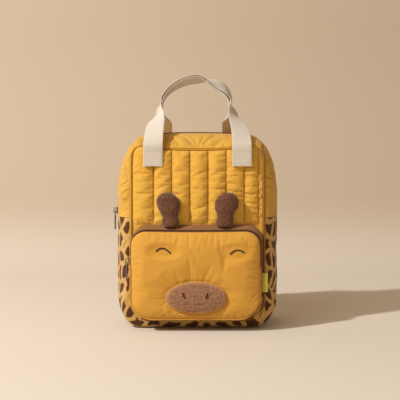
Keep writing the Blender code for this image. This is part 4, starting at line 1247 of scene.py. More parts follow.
@dataclass
class SideBands:
    """The padded band over the top in two halves, the printed band below, and the main zip."""

    form: BagForm
    finishes: Finishes
    wall: float = 0.0028
    tape_width: float = 0.022
    tape_wall: float = 0.0012
    teeth_width: float = 0.006
    tooth_pitch: float = 0.0022
    side_sink: float = 0.0011
    folds: tuple = ((-0.006, -0.034, 0.034, 0.0026, 1.0), (0.007, 0.036, 0.034, 0.0024, 1.0),
                    (-0.002, -0.012, 0.030, 0.0020, 0.8), (0.003, 0.013, 0.026, 0.0018, 0.7),
                    (-0.024, -0.050, 0.020, 0.0018, 0.7), (0.026, 0.052, 0.018, 0.0018, 0.7),
                    (-0.036, -0.030, 0.016, 0.0015, 0.5), (0.040, 0.036, 0.014, 0.0015, 0.5))
    shoulder: float = 0.0026
    fold_depth: float = 0.0026
    tuck_depth: float = 0.0020
    seam_reach: float = 0.010
    roll: float = 0.0022
    roll_reach: float = 0.0045
    stations: int = 420
    zip_stations: int = 300
    zip_columns: int = 17
    top_lumps: Ripple = Ripple(0.0008, 0.024, 0.022, 0.0)
    top_grain: Ripple = Ripple(0.0005, 0.0075, 0.03, 1.0)
    top_puckers: Ripple = Ripple(0.0010, 0.0065, 0.02, 2.0)
    low_waves: Ripple = Ripple(0.0008, 0.022, 0.026, 41.0)
    low_puckers: Ripple = Ripple(0.0007, 0.0065, 0.02, 42.0)

    def folds_on_top(self, grid: Array) -> Array:
        """Depth of the gathers on top.

        Each fold runs from a point of the front seam to a point behind it, and its section is
        exp(-(d / width)^2), where d is the distance from that line. A row of the table holds the
        first X, the last X, the reach in Y, the width, and the depth from 0 to 1.
        """
        x, y = grid[..., 0], grid[..., 1] - self.form.front_y
        depth = np.zeros(x.shape)
        for first, last, reach, width, deep in self.folds:
            share = y / reach
            line = first + (last - first) * share + 0.0012 * np.sin(5 * share + 40 * first)
            slope = np.hypot(1.0, (last - first) / reach)
            ends = smoothstep(0.0, 0.12, share) * (1 - smoothstep(0.55, 1.0, share))
            depth = np.maximum(depth, deep * ends * np.exp(-((x - line) / slope / (1.5 * width)) ** 2))
        return depth * (grid[..., 2] > self.form.side_seam)

    def tucks_on_sides(self, grid: Array, from_seam: Array) -> Array:
        """Depth of the short tucks that start at the front seam on both sides."""
        x, z = grid[..., 0], grid[..., 2]
        droop = z + 0.35 * from_seam * np.sign(0.24 - z)
        ridge = np.abs(noise(from_seam / 0.03 + 3.0 * (x > 0), droop / 0.0105, 17.0))
        wave = np.clip(1 - 3.2 * ridge, 0, 1)
        reach = smoothstep(0.0, 0.004, from_seam) * (1 - smoothstep(0.010, 0.034, from_seam))
        return wave * reach * smoothstep(0.205, 0.235, np.abs(x) + z * 0.6)

    def from_seam(self, grid: Array, first: bool) -> Array:
        """Length of cloth from a band's seam to each point, along its depth."""
        steps = np.linalg.norm(np.diff(grid, axis=1), axis=-1)
        lengths = np.concatenate([np.zeros((len(grid), 1)), np.cumsum(steps, axis=1)], axis=1)
        return lengths if first else lengths[:, -1:] - lengths

    def soften(self, grid: Array, first: bool, seed: float) -> tuple[Array, Array]:
        """Give a padded band its folds and lumps.

        Args:
            grid: The plain band.
            first: Whether its seam is at the first column.
            seed: Picks the unevenness.

        Returns:
            The folded grid and its tone, which is painted shade in the gathers, the tucks and beside the
            seam.
        """
        from_seam = self.from_seam(grid, first)
        normals = normals_of(grid, self.form.centre)
        u, v = np.moveaxis(cloth_map(grid), -1, 0)
        puckers = self.top_puckers.at(u, v, seed) * np.exp(-from_seam / self.seam_reach)
        uneven = self.top_lumps.at(u, v, seed) + self.top_grain.at(u, v, seed) + puckers
        folds = self.folds_on_top(grid) if first else np.zeros_like(u)
        tucks = self.tucks_on_sides(grid, from_seam)
        settle = np.clip(from_seam / 0.003, 0.0, 1.0)
        far = smoothstep(0.0, 0.004, self.from_seam(grid, not first))
        corner = np.exp(-((np.abs(grid[..., 0]) - 0.100) / 0.022) ** 2) * (grid[..., 2] > 0.2)
        puffed = self.shoulder * corner * smoothstep(0.002, 0.016, from_seam)
        depth = (uneven * settle + puffed - self.fold_depth * folds - self.tuck_depth * tucks) * far
        top = smoothstep(0.268, 0.280, grid[..., 2]) * first
        # Painted shade: darker in the gathers and tucks, and beside the seam except where the top rolls
        # forward.
        tone = 0.12 * folds + 0.35 * tucks + 0.35 * np.exp(-from_seam / 0.0012) * (1 - top)
        roll = self.roll * np.exp(-(from_seam / self.roll_reach) ** 2) * top
        return grid + normals * depth[..., None] - roll[..., None] * np.array([0.0, 1.0, 0.3]), tone

    def build_top(self) -> None:
        """Make the two padded halves of the band over the top."""
        form = self.form
        level = form.side_seam + form.gap / 2
        lines = form.lines(level, self.stations, over=True)
        clear = form.piping_radius + form.gap
        tape = self.tape_width / 2 / form.depth
        start = form.seam_start(lines[0], lines[1], clear)
        stop = 1 - form.seam_start(lines[2], lines[1], clear)
        gap = form.gap / form.depth
        halves = (("top_band_front", "front_gusset", form.spread(start, 0.5 - tape - gap, 46), True, 21.0),
                  ("top_band_rear", "rear_gusset", form.spread(0.5 + tape + gap, stop, 32), False, 31.0))
        for name, node, depths, first, seed in halves:
            plain = form.band(lines, depths)
            outer, tone = self.soften(plain, first, seed)
            inner = plain - normals_of(plain, form.centre) * self.wall
            work = Patchwork()
            work.add_wall(outer, inner, tone)
            dress(work.build(name, self.finishes["gusset"]), Slot.PADDED, (node,))

    def build_lower(self) -> None:
        """Make the printed band, from side seam to side seam under the base."""
        form = self.form
        level = form.side_seam - form.gap / 2
        lines = form.lines(level, self.stations, over=False)
        clear = form.piping_radius + form.gap
        start = form.seam_start(lines[0], lines[1], clear)
        stop = 1 - form.seam_start(lines[2], lines[1], clear)
        plain = form.band(lines, form.spread(start, stop, 84))
        normals = normals_of(plain, form.centre)
        u, v = np.moveaxis(cloth_map(plain), -1, 0)
        from_front = self.from_seam(plain, True)
        near = np.minimum(from_front, self.from_seam(plain, False))
        settle = np.clip(near / 0.003, 0.0, 1.0)
        lift = smoothstep(0.0, 0.012, plain[..., 2])
        uneven = self.low_waves.at(u, v) + self.low_puckers.at(u, v) * np.exp(-near / self.seam_reach)
        outer = plain + normals * (uneven * settle * lift)[..., None]
        work = Patchwork()
        work.add_wall(outer, plain - normals * self.wall)
        piece = work.build("printed_band", self.finishes["print"])
        dress(piece, Slot.PRINTED, ("lower_gusset",))

    def build_zip(self) -> None:
        """Make the zip's two tapes and its coil of teeth."""
        form = self.form
        level = form.side_seam + form.gap / 2
        lines = form.lines(level, self.zip_stations, over=True)
        tape = self.tape_width / 2 / form.depth
        plain = form.band(lines, 0.5 + np.linspace(-tape, tape, self.zip_columns))
        normals = normals_of(plain, form.centre)
        share = np.abs(np.linspace(-1.0, 1.0, self.zip_columns))
        raised = 0.0005 * smoothstep(0.75, 1.0, share) + 0.0004 * (share < 0.3)
        sunk = self.side_sink * smoothstep(0.28, 0.22, plain[..., 2]) * (1 - share ** 4)
        plain = plain - normals * sunk[..., None]
        outer = plain + normals * raised[None, :, None]
        work = Patchwork()
        work.add_wall(outer, plain - normals * self.tape_wall)
        piece = work.build("main_zip_tape", self.finishes["tape"])
        dress(piece, Slot.ZIP, ("main_zip",))
        middle, out = plain[:, self.zip_columns // 2], normals[:, self.zip_columns // 2]
        coil = Coil(self.teeth_width, self.tooth_pitch)
        teeth = coil.build("main_zip_teeth", middle + out * 0.0006, out, BACKWARD, self.finishes["teeth"])
        dress(teeth, Slot.ZIP)


@dataclass
class Coil:
    """Interlocked teeth of a zip: small rounded blocks that come from either side in turn."""

    width: float
    pitch: float
    height: float = 0.0013
    slimming: float = 0.62
    half_tooth: float = 0.27
    half_reach: float = 0.32
    overlap: float = 0.13

    def build(self, name: str, path: Array, out: Array, across: Array,
              material: bpy.types.Material) -> bpy.types.Object:
        """Make the teeth along a path.

        Args:
            name: Name of the piece.
            path: Middle line on the tape.
            out: Outward unit normals along it.
            across: Direction from one tape to the other.
            material: Finish of the teeth.

        Returns:
            The new object.
        """
        count = int(measured(path)[-1] / self.pitch * 2)
        line = resample(np.hstack([path, out, np.broadcast_to(across, path.shape)]), count)
        middle, up, side = line[:, :3], unit(line[:, 3:6]), unit(line[:, 6:9])
        way = unit(np.cross(side, up))
        hand = np.where(np.arange(count) % 2 == 0, 1.0, -1.0)[:, None]
        corners = np.array([[u, v, w] for u in (-1, 1) for v in (-1, 1) for w in (0, 1)], dtype=float)
        slim = np.where(corners[:, 2] > 0, self.slimming, 1.0)
        along = corners[:, 0] * slim * self.pitch * self.half_tooth
        over = (corners[:, 1] * slim * self.half_reach + self.overlap) * self.width
        points = (middle[:, None] + way[:, None] * along[None, :, None]
                  + (side * hand)[:, None] * over[None, :, None]
                  + up[:, None] * (corners[:, 2] * self.height)[None, :, None])
        faces = np.array([[0, 1, 3, 2], [4, 6, 7, 5], [0, 4, 5, 1],
                          [2, 3, 7, 6], [0, 2, 6, 4], [1, 5, 7, 3]])
        every = faces[None] + 8 * np.arange(count)[:, None, None]
        even, odd = every[::2].reshape(-1, 4), every[1::2].reshape(-1, 4)[:, ::-1]
        work = Patchwork()
        for chosen in (even, odd):
            work.add(points.reshape(-1, 3)[np.unique(chosen)], np.unique(chosen, return_inverse=True)[1]
                     .reshape(-1, 4))
        return work.build(name, material, crisp=50.0)


# Pocket, face and tag

@dataclass
class Pocket:
    """The front pocket: a puffed face on a side band, with a zip over its top."""

    form: BagForm
    finishes: Finishes
    half_width: float = 0.0985
    bottom: float = 0.0195
    top: float = 0.1535
    depth: float = 0.022
    dome: float = 0.006
    lean: float = -0.003
    seam_margin: float = 0.0036
    zip_end: float = 0.098
    bulge: float = 0.0012
    wall: float = 0.0018
    tape_wall: float = 0.0012
    teeth_place: float = 0.84
    teeth_width: float = 0.0042
    tooth_pitch: float = 0.0019
    cord_radius: float = 0.0012
    eyes: tuple = ((-0.0520, 0.1240), (0.0601, 0.1224))
    eye_room: tuple = (0.0135, 0.0065)
    crease: tuple = ((0.0440, 0.1150), (0.0770, 0.1290))
    muzzle_place: tuple = (-0.002, 0.0535)
    broad: Ripple = Ripple(0.0010, 0.034, 0.030, 51.0)
    slanted: Ripple = Ripple(0.0004, 0.030, 0.012, 52.0)
    upright: Ripple = Ripple(0.0007, 0.015, 0.060, 53.0)
    roll_depth: float = 0.0026
    roll_width: float = 0.0065
    stations: int = 260
    side_columns: int = 18
    zip_columns: int = 26
    drawn_height: float = 0.0007
    dip_depth: float = 0.0018
    side_waves: Ripple = Ripple(0.0006, 0.016, 0.020, 61.0)
    side_grain: Ripple = Ripple(0.0004, 0.006, 0.020, 62.0)
    filling: Settling = Settling(pressure=1.1, growth=0.014, most=0.0034)

    @property
    def seam(self) -> Outline:
        """Outline of the pocket's seam on the front panel."""
        form = self.form
        return Outline(form.seam_half_width - self.seam_margin, form.panel_bottom + self.seam_margin,
                       form.pocket_seam_top, arch=0.0, arch_power=2.0, low_corner=(0.028, 0.028),
                       high_corner=(0.022, 0.022))

    @property
    def edge(self) -> Outline:
        """Outline of the pocket's face."""
        return Outline(self.half_width, self.bottom, self.top, arch=-0.0015, arch_power=2.0,
                       low_corner=(0.034, 0.032), high_corner=(0.024, 0.022))

    @property
    def face_y(self) -> float:
        """Place of the face's edge."""
        return self.form.panel_face - self.form.panel_dome - self.depth

    @property
    def centre(self) -> Array:
        """Middle of the pocket."""
        return np.array([0.0, (self.face_y + self.form.panel_face) / 2, (self.top + self.bottom) / 2])

    def face(self, x: Array, z: Array) -> Array:
        """How far forward the face stands: a dome, full in the middle and falling at the edges."""
        middle = (self.top + self.bottom) / 2
        reach = (self.top - self.bottom) / 2
        across = np.clip(np.abs((x - self.lean) / self.half_width), 0, 1)
        up = np.clip(np.abs((z - middle) / reach), 0, 1)
        return self.face_y - self.dome * (1 - across ** 5) * (1 - up ** 4)

    def wrinkles(self, x: Array, z: Array) -> Array:
        """Soft folds: broad lumps, slanted creases on the right, upright folds low down.

        Round the muzzle the cloth is drawn into folds that point at it, and dips to its seam.
        """
        across, up = self.muzzle_place
        slanted = self.slanted.at(x + z, x - 0.6 * z) * smoothstep(0.02, 0.06, x)
        upright = self.upright.at(x, z) * smoothstep(0.085, 0.030, z)
        ring = np.hypot((x - across) / 0.046, (z - up) / 0.0245)
        turn = np.arctan2(z - up, x - across)
        drawn = self.drawn_height * noise(7 * turn, ring, 54.0) * np.exp(-np.abs(ring - 1.08) / 0.22)
        dip = self.dip_depth * np.exp(-((ring - 1.03) / 0.10) ** 2)
        return self.broad.at(x, z) + slanted + upright + drawn - dip

    def build(self) -> None:
        """Make the face, the bands, the zip and the cord along the lower seam."""
        self.build_face()
        self.build_band()
        self.build_zip()

    def build_face(self) -> None:
        """Make the puffed face, which rolls back into its seam."""
        edge = self.edge
        turn = np.linspace(-1.0, 1.0, 151)
        x = self.half_width * (0.75 * turn + 0.25 * np.sin(turn * np.pi / 2))
        low, high = edge.bottom_at(x)[:, None], edge.top_at(x)[:, None]
        up = np.linspace(-1.0, 1.0, 113)
        share = (0.75 * up + 0.25 * np.sin(up * np.pi / 2) + 1) / 2
        z = low + (high - low) * share[None, :]
        x = np.repeat(x[:, None] + self.lean, z.shape[1], axis=1)
        inside = np.minimum.reduce([self.half_width - np.abs(x - self.lean), high - z, z - low])
        roll = self.roll_depth * np.clip(1 - inside / self.roll_width, 0, 1) ** 2
        settle = np.clip(inside / 0.006, 0, 1)
        y = self.face(x, z) + roll - self.wrinkles(x, z) * settle
        outer = np.stack([x, y, z], axis=-1)
        ring = np.hypot((x - self.muzzle_place[0]) / 0.0455, (z - self.muzzle_place[1]) / 0.024)
        sewn = [np.hypot(x - across, z - high) < 0.0018 for across, high in self.crease]
        held = (inside < 0.002) | (np.abs(ring - 0.95) < 0.08) | np.logical_or.reduce(sewn)
        settled = self.filling.settle(outer, held, FORWARD)
        wide, tall = self.eye_room
        room = np.min([np.hypot((x - across) / wide, (z - high) / tall)
                       for across, high in self.eyes], axis=0)
        outer = outer + (settled - outer) * smoothstep(1.0, 2.4, room)[..., None]
        inner = outer + np.array([0.0, self.wall, 0.0])
        # Painted shade where the face rolls back into its seam.
        tone = 0.35 * np.clip(1 - inside / 0.002, 0, 1)
        work = Patchwork()
        work.add_wall(outer, inner, tone, flat=np.stack([x, z], axis=-1))
        piece = work.build("pocket_face", self.finishes["pocket"])
        dress(piece, Slot.POCKET, ("pocket_front",))

    def band(self, seam: Array, face: Array, shares: Array) -> Array:
        """The side band: straight from its seam to the face, plus a bulge of sin(pi t)."""
        rear_y = self.form.panel_face - self.form.dome(seam[:, 0], seam[:, 1]) - self.form.gap
        rear_y = rear_y - self.form.seam_ease
        front_y = np.full(len(face), self.face_y + self.wall + self.form.gap)
        rear = np.stack([seam[:, 0], rear_y, seam[:, 1]], axis=1)[:, None]
        front = np.stack([face[:, 0] + self.lean, front_y, face[:, 1]], axis=1)[:, None]
        share = shares[None, :, None]
        out = np.stack([face[:, 0] / self.half_width, 0 * front_y,
                        (face[:, 1] - self.form.centre[2] / 2) / self.top], axis=1)[:, None]
        return rear + (front - rear) * share + self.bulge * np.sin(np.pi * share) * out

    def build_band(self) -> None:
        """Make the printed lower band and the cord in its front seam."""
        level = self.zip_end - self.form.gap / 2
        lines = [line.under(level, self.stations) for line in (self.seam, self.edge)]
        shares = np.linspace(0.0, 1.0, self.side_columns)
        plain = self.band(*lines, shares)
        normals = normals_of(plain, self.centre)
        u, v = np.moveaxis(cloth_map(plain), -1, 0)
        ease = np.sin(np.pi * shares)[None, :]
        waves = self.side_waves.at(u, v) + self.side_grain.at(u, v)
        work = Patchwork()
        work.add_wall(plain + normals * (waves * ease)[..., None], plain - normals * self.wall)
        piece = work.build("pocket_side", self.finishes["print"])
        dress(piece, Slot.PRINTED, ("pocket_gusset",))
        path = plain[:, -1] + normals[:, -1] * 0.0004 - np.array([0.0, 0.0006, 0.0])
        rings = round_tube(path, self.cord_radius, 10, BACKWARD)
        cord = Patchwork()
        # Painted shade on the whole cord, deeper towards the right, away from the lamp.
        cord.add_tube(rings, tone=0.35 + 0.5 * smoothstep(0.60, 0.95, path[:, 0] / self.half_width))
        dress(cord.build("pocket_cord", self.finishes["pocket"]), Slot.POCKET)

    def build_zip(self) -> None:
        """Make the pocket's zip tape and teeth, from side to side over the top."""
        level = self.zip_end + self.form.gap / 2
        lines = [line.over(level, self.stations) for line in (self.seam, self.edge)]
        shares = np.linspace(0.0, 1.0, self.zip_columns)
        plain = self.band(*lines, shares)
        normals = normals_of(plain, self.centre)
        half = self.teeth_width / 2 / self.depth
        fold = 0.0007 * np.exp(-((shares - 0.52) / 0.05) ** 2) + 0.0005 * smoothstep(0.93, 1.0, shares)
        sunk = 0.0006 * np.exp(-((shares - self.teeth_place) / half) ** 2)
        outer = plain + normals * (fold - sunk)[None, :, None]
        work = Patchwork()
        # Painted shade on the tape along both sides of the teeth.
        tone = 0.7 * np.clip(1 - np.abs(np.abs(shares - self.teeth_place) - 1.15 * half) / 0.03, 0, 1)
        work.add_wall(outer, plain - normals * self.tape_wall, np.broadcast_to(tone, plain.shape[:2]))
        piece = work.build("pocket_zip_tape", self.finishes["tape"])
        dress(piece, Slot.ZIP, ("pocket_zip",))
        column = int(round(self.teeth_place * (len(shares) - 1)))
        across = unit(plain[:, -1] - plain[:, 0])
        coil = Coil(self.teeth_width, self.tooth_pitch, 0.0012)
        teeth = coil.build("pocket_zip_teeth", plain[:, column] - normals[:, column] * 0.0004,
                           normals[:, column], across, self.finishes["teeth"])
        dress(teeth, Slot.ZIP)


@dataclass
class Face:
    """The plush muzzle, sewn eyes and nostrils, and stuffed horns."""

    form: BagForm
    pocket: Pocket
    finishes: Finishes
    muzzle_half: tuple[float, float] = (0.0455, 0.0240)
    muzzle_thick: float = 0.0055
    border: float = 0.0026
    smile_z: float = 0.0424
    smile_bend: float = 9.5
    smile_depth: float = 0.0010
    smile_width: float = 0.0011
    thread: float = 0.00115
    twist: float = 0.0042
    muzzle_curls: tuple = (Ripple(0.00026, 0.0026, 0.0022, 71.0), Ripple(0.00036, 0.0070, 0.0032, 72.0))
    horn_curls: tuple = (Ripple(0.0004, 0.0026, 0.0026, 81.0), Ripple(0.0005, 0.0060, 0.0055, 82.0))
    eyes: tuple = (((-0.0633, 0.1232), (-0.0527, 0.1284), (-0.0404, 0.1202)),
                   ((0.0490, 0.1192), (0.0602, 0.1256), (0.0712, 0.1210)))
    nostrils: tuple = (((-0.0227, 0.0620), (-0.0197, 0.0540)), ((0.0152, 0.0620), (0.0130, 0.0530)))
    horn_length: float = 0.0488
    horn_head: float = 0.0365
    horn_rings: int = 64
    horn_sides: int = 72
    horn_thick: float = 0.017
    horn_spacing: float = 0.083
    horn_lean: float = 0.006
    horn_sink: float = 0.0014
    horn_rows: tuple = ((-0.05, 0.30), (-0.045, 0.66), (0.0, 0.71), (0.12, 0.69), (0.25, 0.68), (0.34, 0.73),
                        (0.42, 0.85), (0.52, 0.96), (0.64, 1.0), (0.76, 0.955), (0.86, 0.81), (0.93, 0.60),
                        (0.975, 0.37), (1.0, 0.0))

    def build(self) -> None:
        """Make every piece of the face."""
        self.build_muzzle()
        for name, points in zip(("eye_thread_left", "eye_thread_right"), self.eyes):
            self.build_line(name, points, self.pocket.face, name.replace("_thread", ""))
        for name, points in zip(("nostril_thread_left", "nostril_thread_right"), self.nostrils):
            self.build_line(name, points, self.muzzle_face, name.replace("_thread", ""))
        for name, node, side in (("plush_horn_left", "horn_left", -1), ("plush_horn_right", "horn_right", 1)):
            self.build_horn(name, node, side)

    def muzzle_face(self, x: Array, z: Array) -> Array:
        """How far forward the muzzle stands.

        With r as the ellipse's radius, the pad is its thickness times 0.3 + 0.7 (1 - r^3)^0.5,
        less a groove along the smile, a parabola.
        """
        reach = np.clip(self.reach(x, z), 0, 1)
        pad = self.muzzle_thick * (0.30 + 0.70 * (1 - reach ** 3.0) ** 0.5)
        smile = self.smile_z + self.smile_bend * (x + 0.004) ** 2
        ends = 1 - smoothstep(0.013, 0.021, np.abs(x - self.pocket.muzzle_place[0]))
        groove = self.smile_depth * np.exp(-((z - smile) / self.smile_width) ** 2) * ends
        curls = sum(curl.at(x, z) for curl in self.muzzle_curls) * (reach < 0.97)
        seam = 0.0002 * np.exp(-((reach - 0.90) / 0.025) ** 2)
        return self.pocket.face(x, z) - self.form.gap - pad + groove + seam - curls

    def reach(self, x: Array, z: Array) -> Array:
        """How far out each point is on the muzzle: 0 in the middle, 1 at the edge."""
        across, up = self.pocket.muzzle_place
        return np.hypot((x - across) / self.muzzle_half[0], (z - up) / self.muzzle_half[1])

    def build_muzzle(self) -> None:
        """Make the padded oval on a grid that is squeezed from a square to a disc."""
        across, up = np.moveaxis(plane(np.linspace(-1, 1, 150), np.linspace(-1, 1, 92)), -1, 0)
        middle_x, middle_z = self.pocket.muzzle_place
        x = middle_x + self.muzzle_half[0] * across * np.sqrt(1 - up ** 2 / 2)
        flat_below = 1 - 0.05 * (up < 0) * (1 - across ** 2)
        z = middle_z + self.muzzle_half[1] * up * np.sqrt(1 - across ** 2 / 2) * flat_below
        outer = np.stack([x, self.muzzle_face(x, z), z], axis=-1)
        inner = np.stack([x, self.pocket.face(x, z) - self.form.gap / 4, z], axis=-1)
        edge = self.border / self.muzzle_half[1]
        tone = 0.5 * smoothstep(1 - 1.2 * edge, 1 - 0.6 * edge, self.reach(x, z))
        work = Patchwork()
        work.add_wall(outer, inner, tone)
        dress(work.build("plush_muzzle", self.finishes["muzzle"]), Slot.MUZZLE_PLUSH, ("muzzle",))

    def build_line(self, name: str, points: tuple, face: object, node: str) -> None:
        """Make an embroidered line: two threads wound round each other, on a face.

        Args:
            name: Name of the piece.
            points: X and Z of the points that the line passes.
            face: Function that says how far forward the cloth stands.
            node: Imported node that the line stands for.
        """
        flat = np.array(points)
        if len(flat) == 3:
            share = np.linspace(0.0, 1.0, 70)[:, None]
            middle = 2 * flat[1] - (flat[0] + flat[2]) / 2
            line = (1 - share) ** 2 * flat[0] + 2 * share * (1 - share) * middle + share ** 2 * flat[2]
        else:
            share = np.linspace(0.0, 1.0, 30)[:, None]
            line = flat[0] + (flat[1] - flat[0]) * share
        y = face(line[:, 0], line[:, 1]) - self.thread * 0.45
        path = np.stack([line[:, 0], y, line[:, 1]], axis=1)
        length = measured(path)
        taper = np.clip(np.minimum(length, length[-1] - length) / 0.0012, 0.35, 1.0)
        along = unit(np.gradient(path, axis=0))
        side = unit(np.cross(along, BACKWARD))
        up = np.cross(side, along)
        work = Patchwork()
        for start in (0.0, np.pi):
            turn = 2 * np.pi * length / self.twist + start
            twist = turned(side, up, turn)
            work.add_tube(round_tube(path + twist * self.thread * 0.42, self.thread * 0.68 * taper, 8,
                                     BACKWARD))
        dress(work.build(name, self.finishes["thread"]), Slot.THREAD, (node,))

    def build_horn(self, name: str, node: str, side: int) -> None:
        """Make a stuffed horn from oval rings whose width follows a short table.

        Args:
            name: Name of the piece.
            node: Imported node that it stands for.
            side: -1 for the left, 1 for the right.
        """
        rest = (self.form.panel_face - self.form.panel_dome - self.form.quilt_relief + self.horn_sink
                - self.form.gap - self.horn_thick / 2)
        base = self.form.pocket_seam_top + 0.0016
        rows = np.array([(up, wide, 0.0) for up, wide in self.horn_rows])
        curve = resample(smooth_path(rows), self.horn_rings)
        up, wide = np.minimum(curve[:, 0], 1), np.clip(curve[:, 1], 0.0, 1.0)
        half = self.horn_head / 2 * wide
        thick = self.horn_thick / 2 * np.minimum(1.0, wide * 1.18)
        x = side * (self.horn_spacing / 2 + self.horn_lean * np.maximum(up, 0) ** 1.5)
        turn = np.linspace(0.0, 2 * np.pi, self.horn_sides, endpoint=False)
        level = np.repeat((base + self.horn_length * up)[:, None], self.horn_sides, axis=1)
        rings = np.stack([x[:, None] + half[:, None] * np.cos(turn), rest + thick[:, None] * np.sin(turn),
                          level], axis=-1)
        out = unit(np.stack([np.cos(turn), np.sin(turn) * 1.6, 0 * turn], axis=-1))
        place = turn * half.mean() + 10 * side
        height = up[:, None] * self.horn_length
        curls = sum(curl.at(place, height) for curl in self.horn_curls)
        ease = np.clip(wide / 0.5, 0, 1)[:, None]
        seam = 0.0007 * np.exp(-(np.sin(turn) / 0.10) ** 2)
        creases = 0.0008 * np.exp(-((up[:, None] - 0.24) / 0.05) ** 2) * np.abs(np.sin(2.5 * turn))
        rings = rings + out[None] * ((curls - seam - creases) * ease)[..., None]
        work = Patchwork()
        work.add_tube(rings)
        dress(work.build(name, self.finishes["horn"], finer=1), Slot.HORN_PLUSH, (node,))


@dataclass
class Tag:
    """A folded tab that stands out of the pocket's right seam. It is bare."""

    form: BagForm
    pocket: Pocket
    finishes: Finishes
    cloth: float = 0.0005
    layer_rows: int = 12
    fold_rows: int = 17
    columns: int = 24

    def build(self) -> None:
        """Bend a strip round its fold: two layers, joined by a half circle."""
        low, high = (np.array(corner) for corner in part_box("side_tag"))
        apart = (high[1] - low[1]) / 2 - self.cloth / 2
        middle = (low[1] + high[1]) / 2
        turn = np.linspace(-np.pi / 2, np.pi / 2, self.fold_rows)
        reach = high[0] - apart - low[0]
        straight = np.linspace(0.0, reach, self.layer_rows)
        x = low[0] + np.concatenate([straight, reach + apart * np.cos(turn)[1:-1], straight[::-1]])
        layer = np.ones(self.layer_rows)
        y = middle + apart * np.concatenate([-layer, np.sin(turn)[1:-1], layer])
        z = np.linspace(low[2], high[2], self.columns)
        grid = np.stack([np.repeat(x[:, None], len(z), axis=1), np.repeat(y[:, None], len(z), axis=1),
                         np.repeat(z[None], len(x), axis=0)], axis=-1)
        share = (grid[..., 0] - low[0]) / (high[0] - low[0])
        # Painted shade on the left part of the tag.
        tone = 0.62 * (1 - smoothstep(0.35, 0.60, share))
        normals = normals_of(grid, np.array([low[0], middle, (low[2] + high[2]) / 2]))
        work = Patchwork()
        work.add_wall(grid + normals * self.cloth / 2, grid - normals * self.cloth / 2, tone)
        piece = work.build("folded_tag", self.finishes["tag"])
        dress(piece, Slot.TAG, ("side_tag",))


# Handles

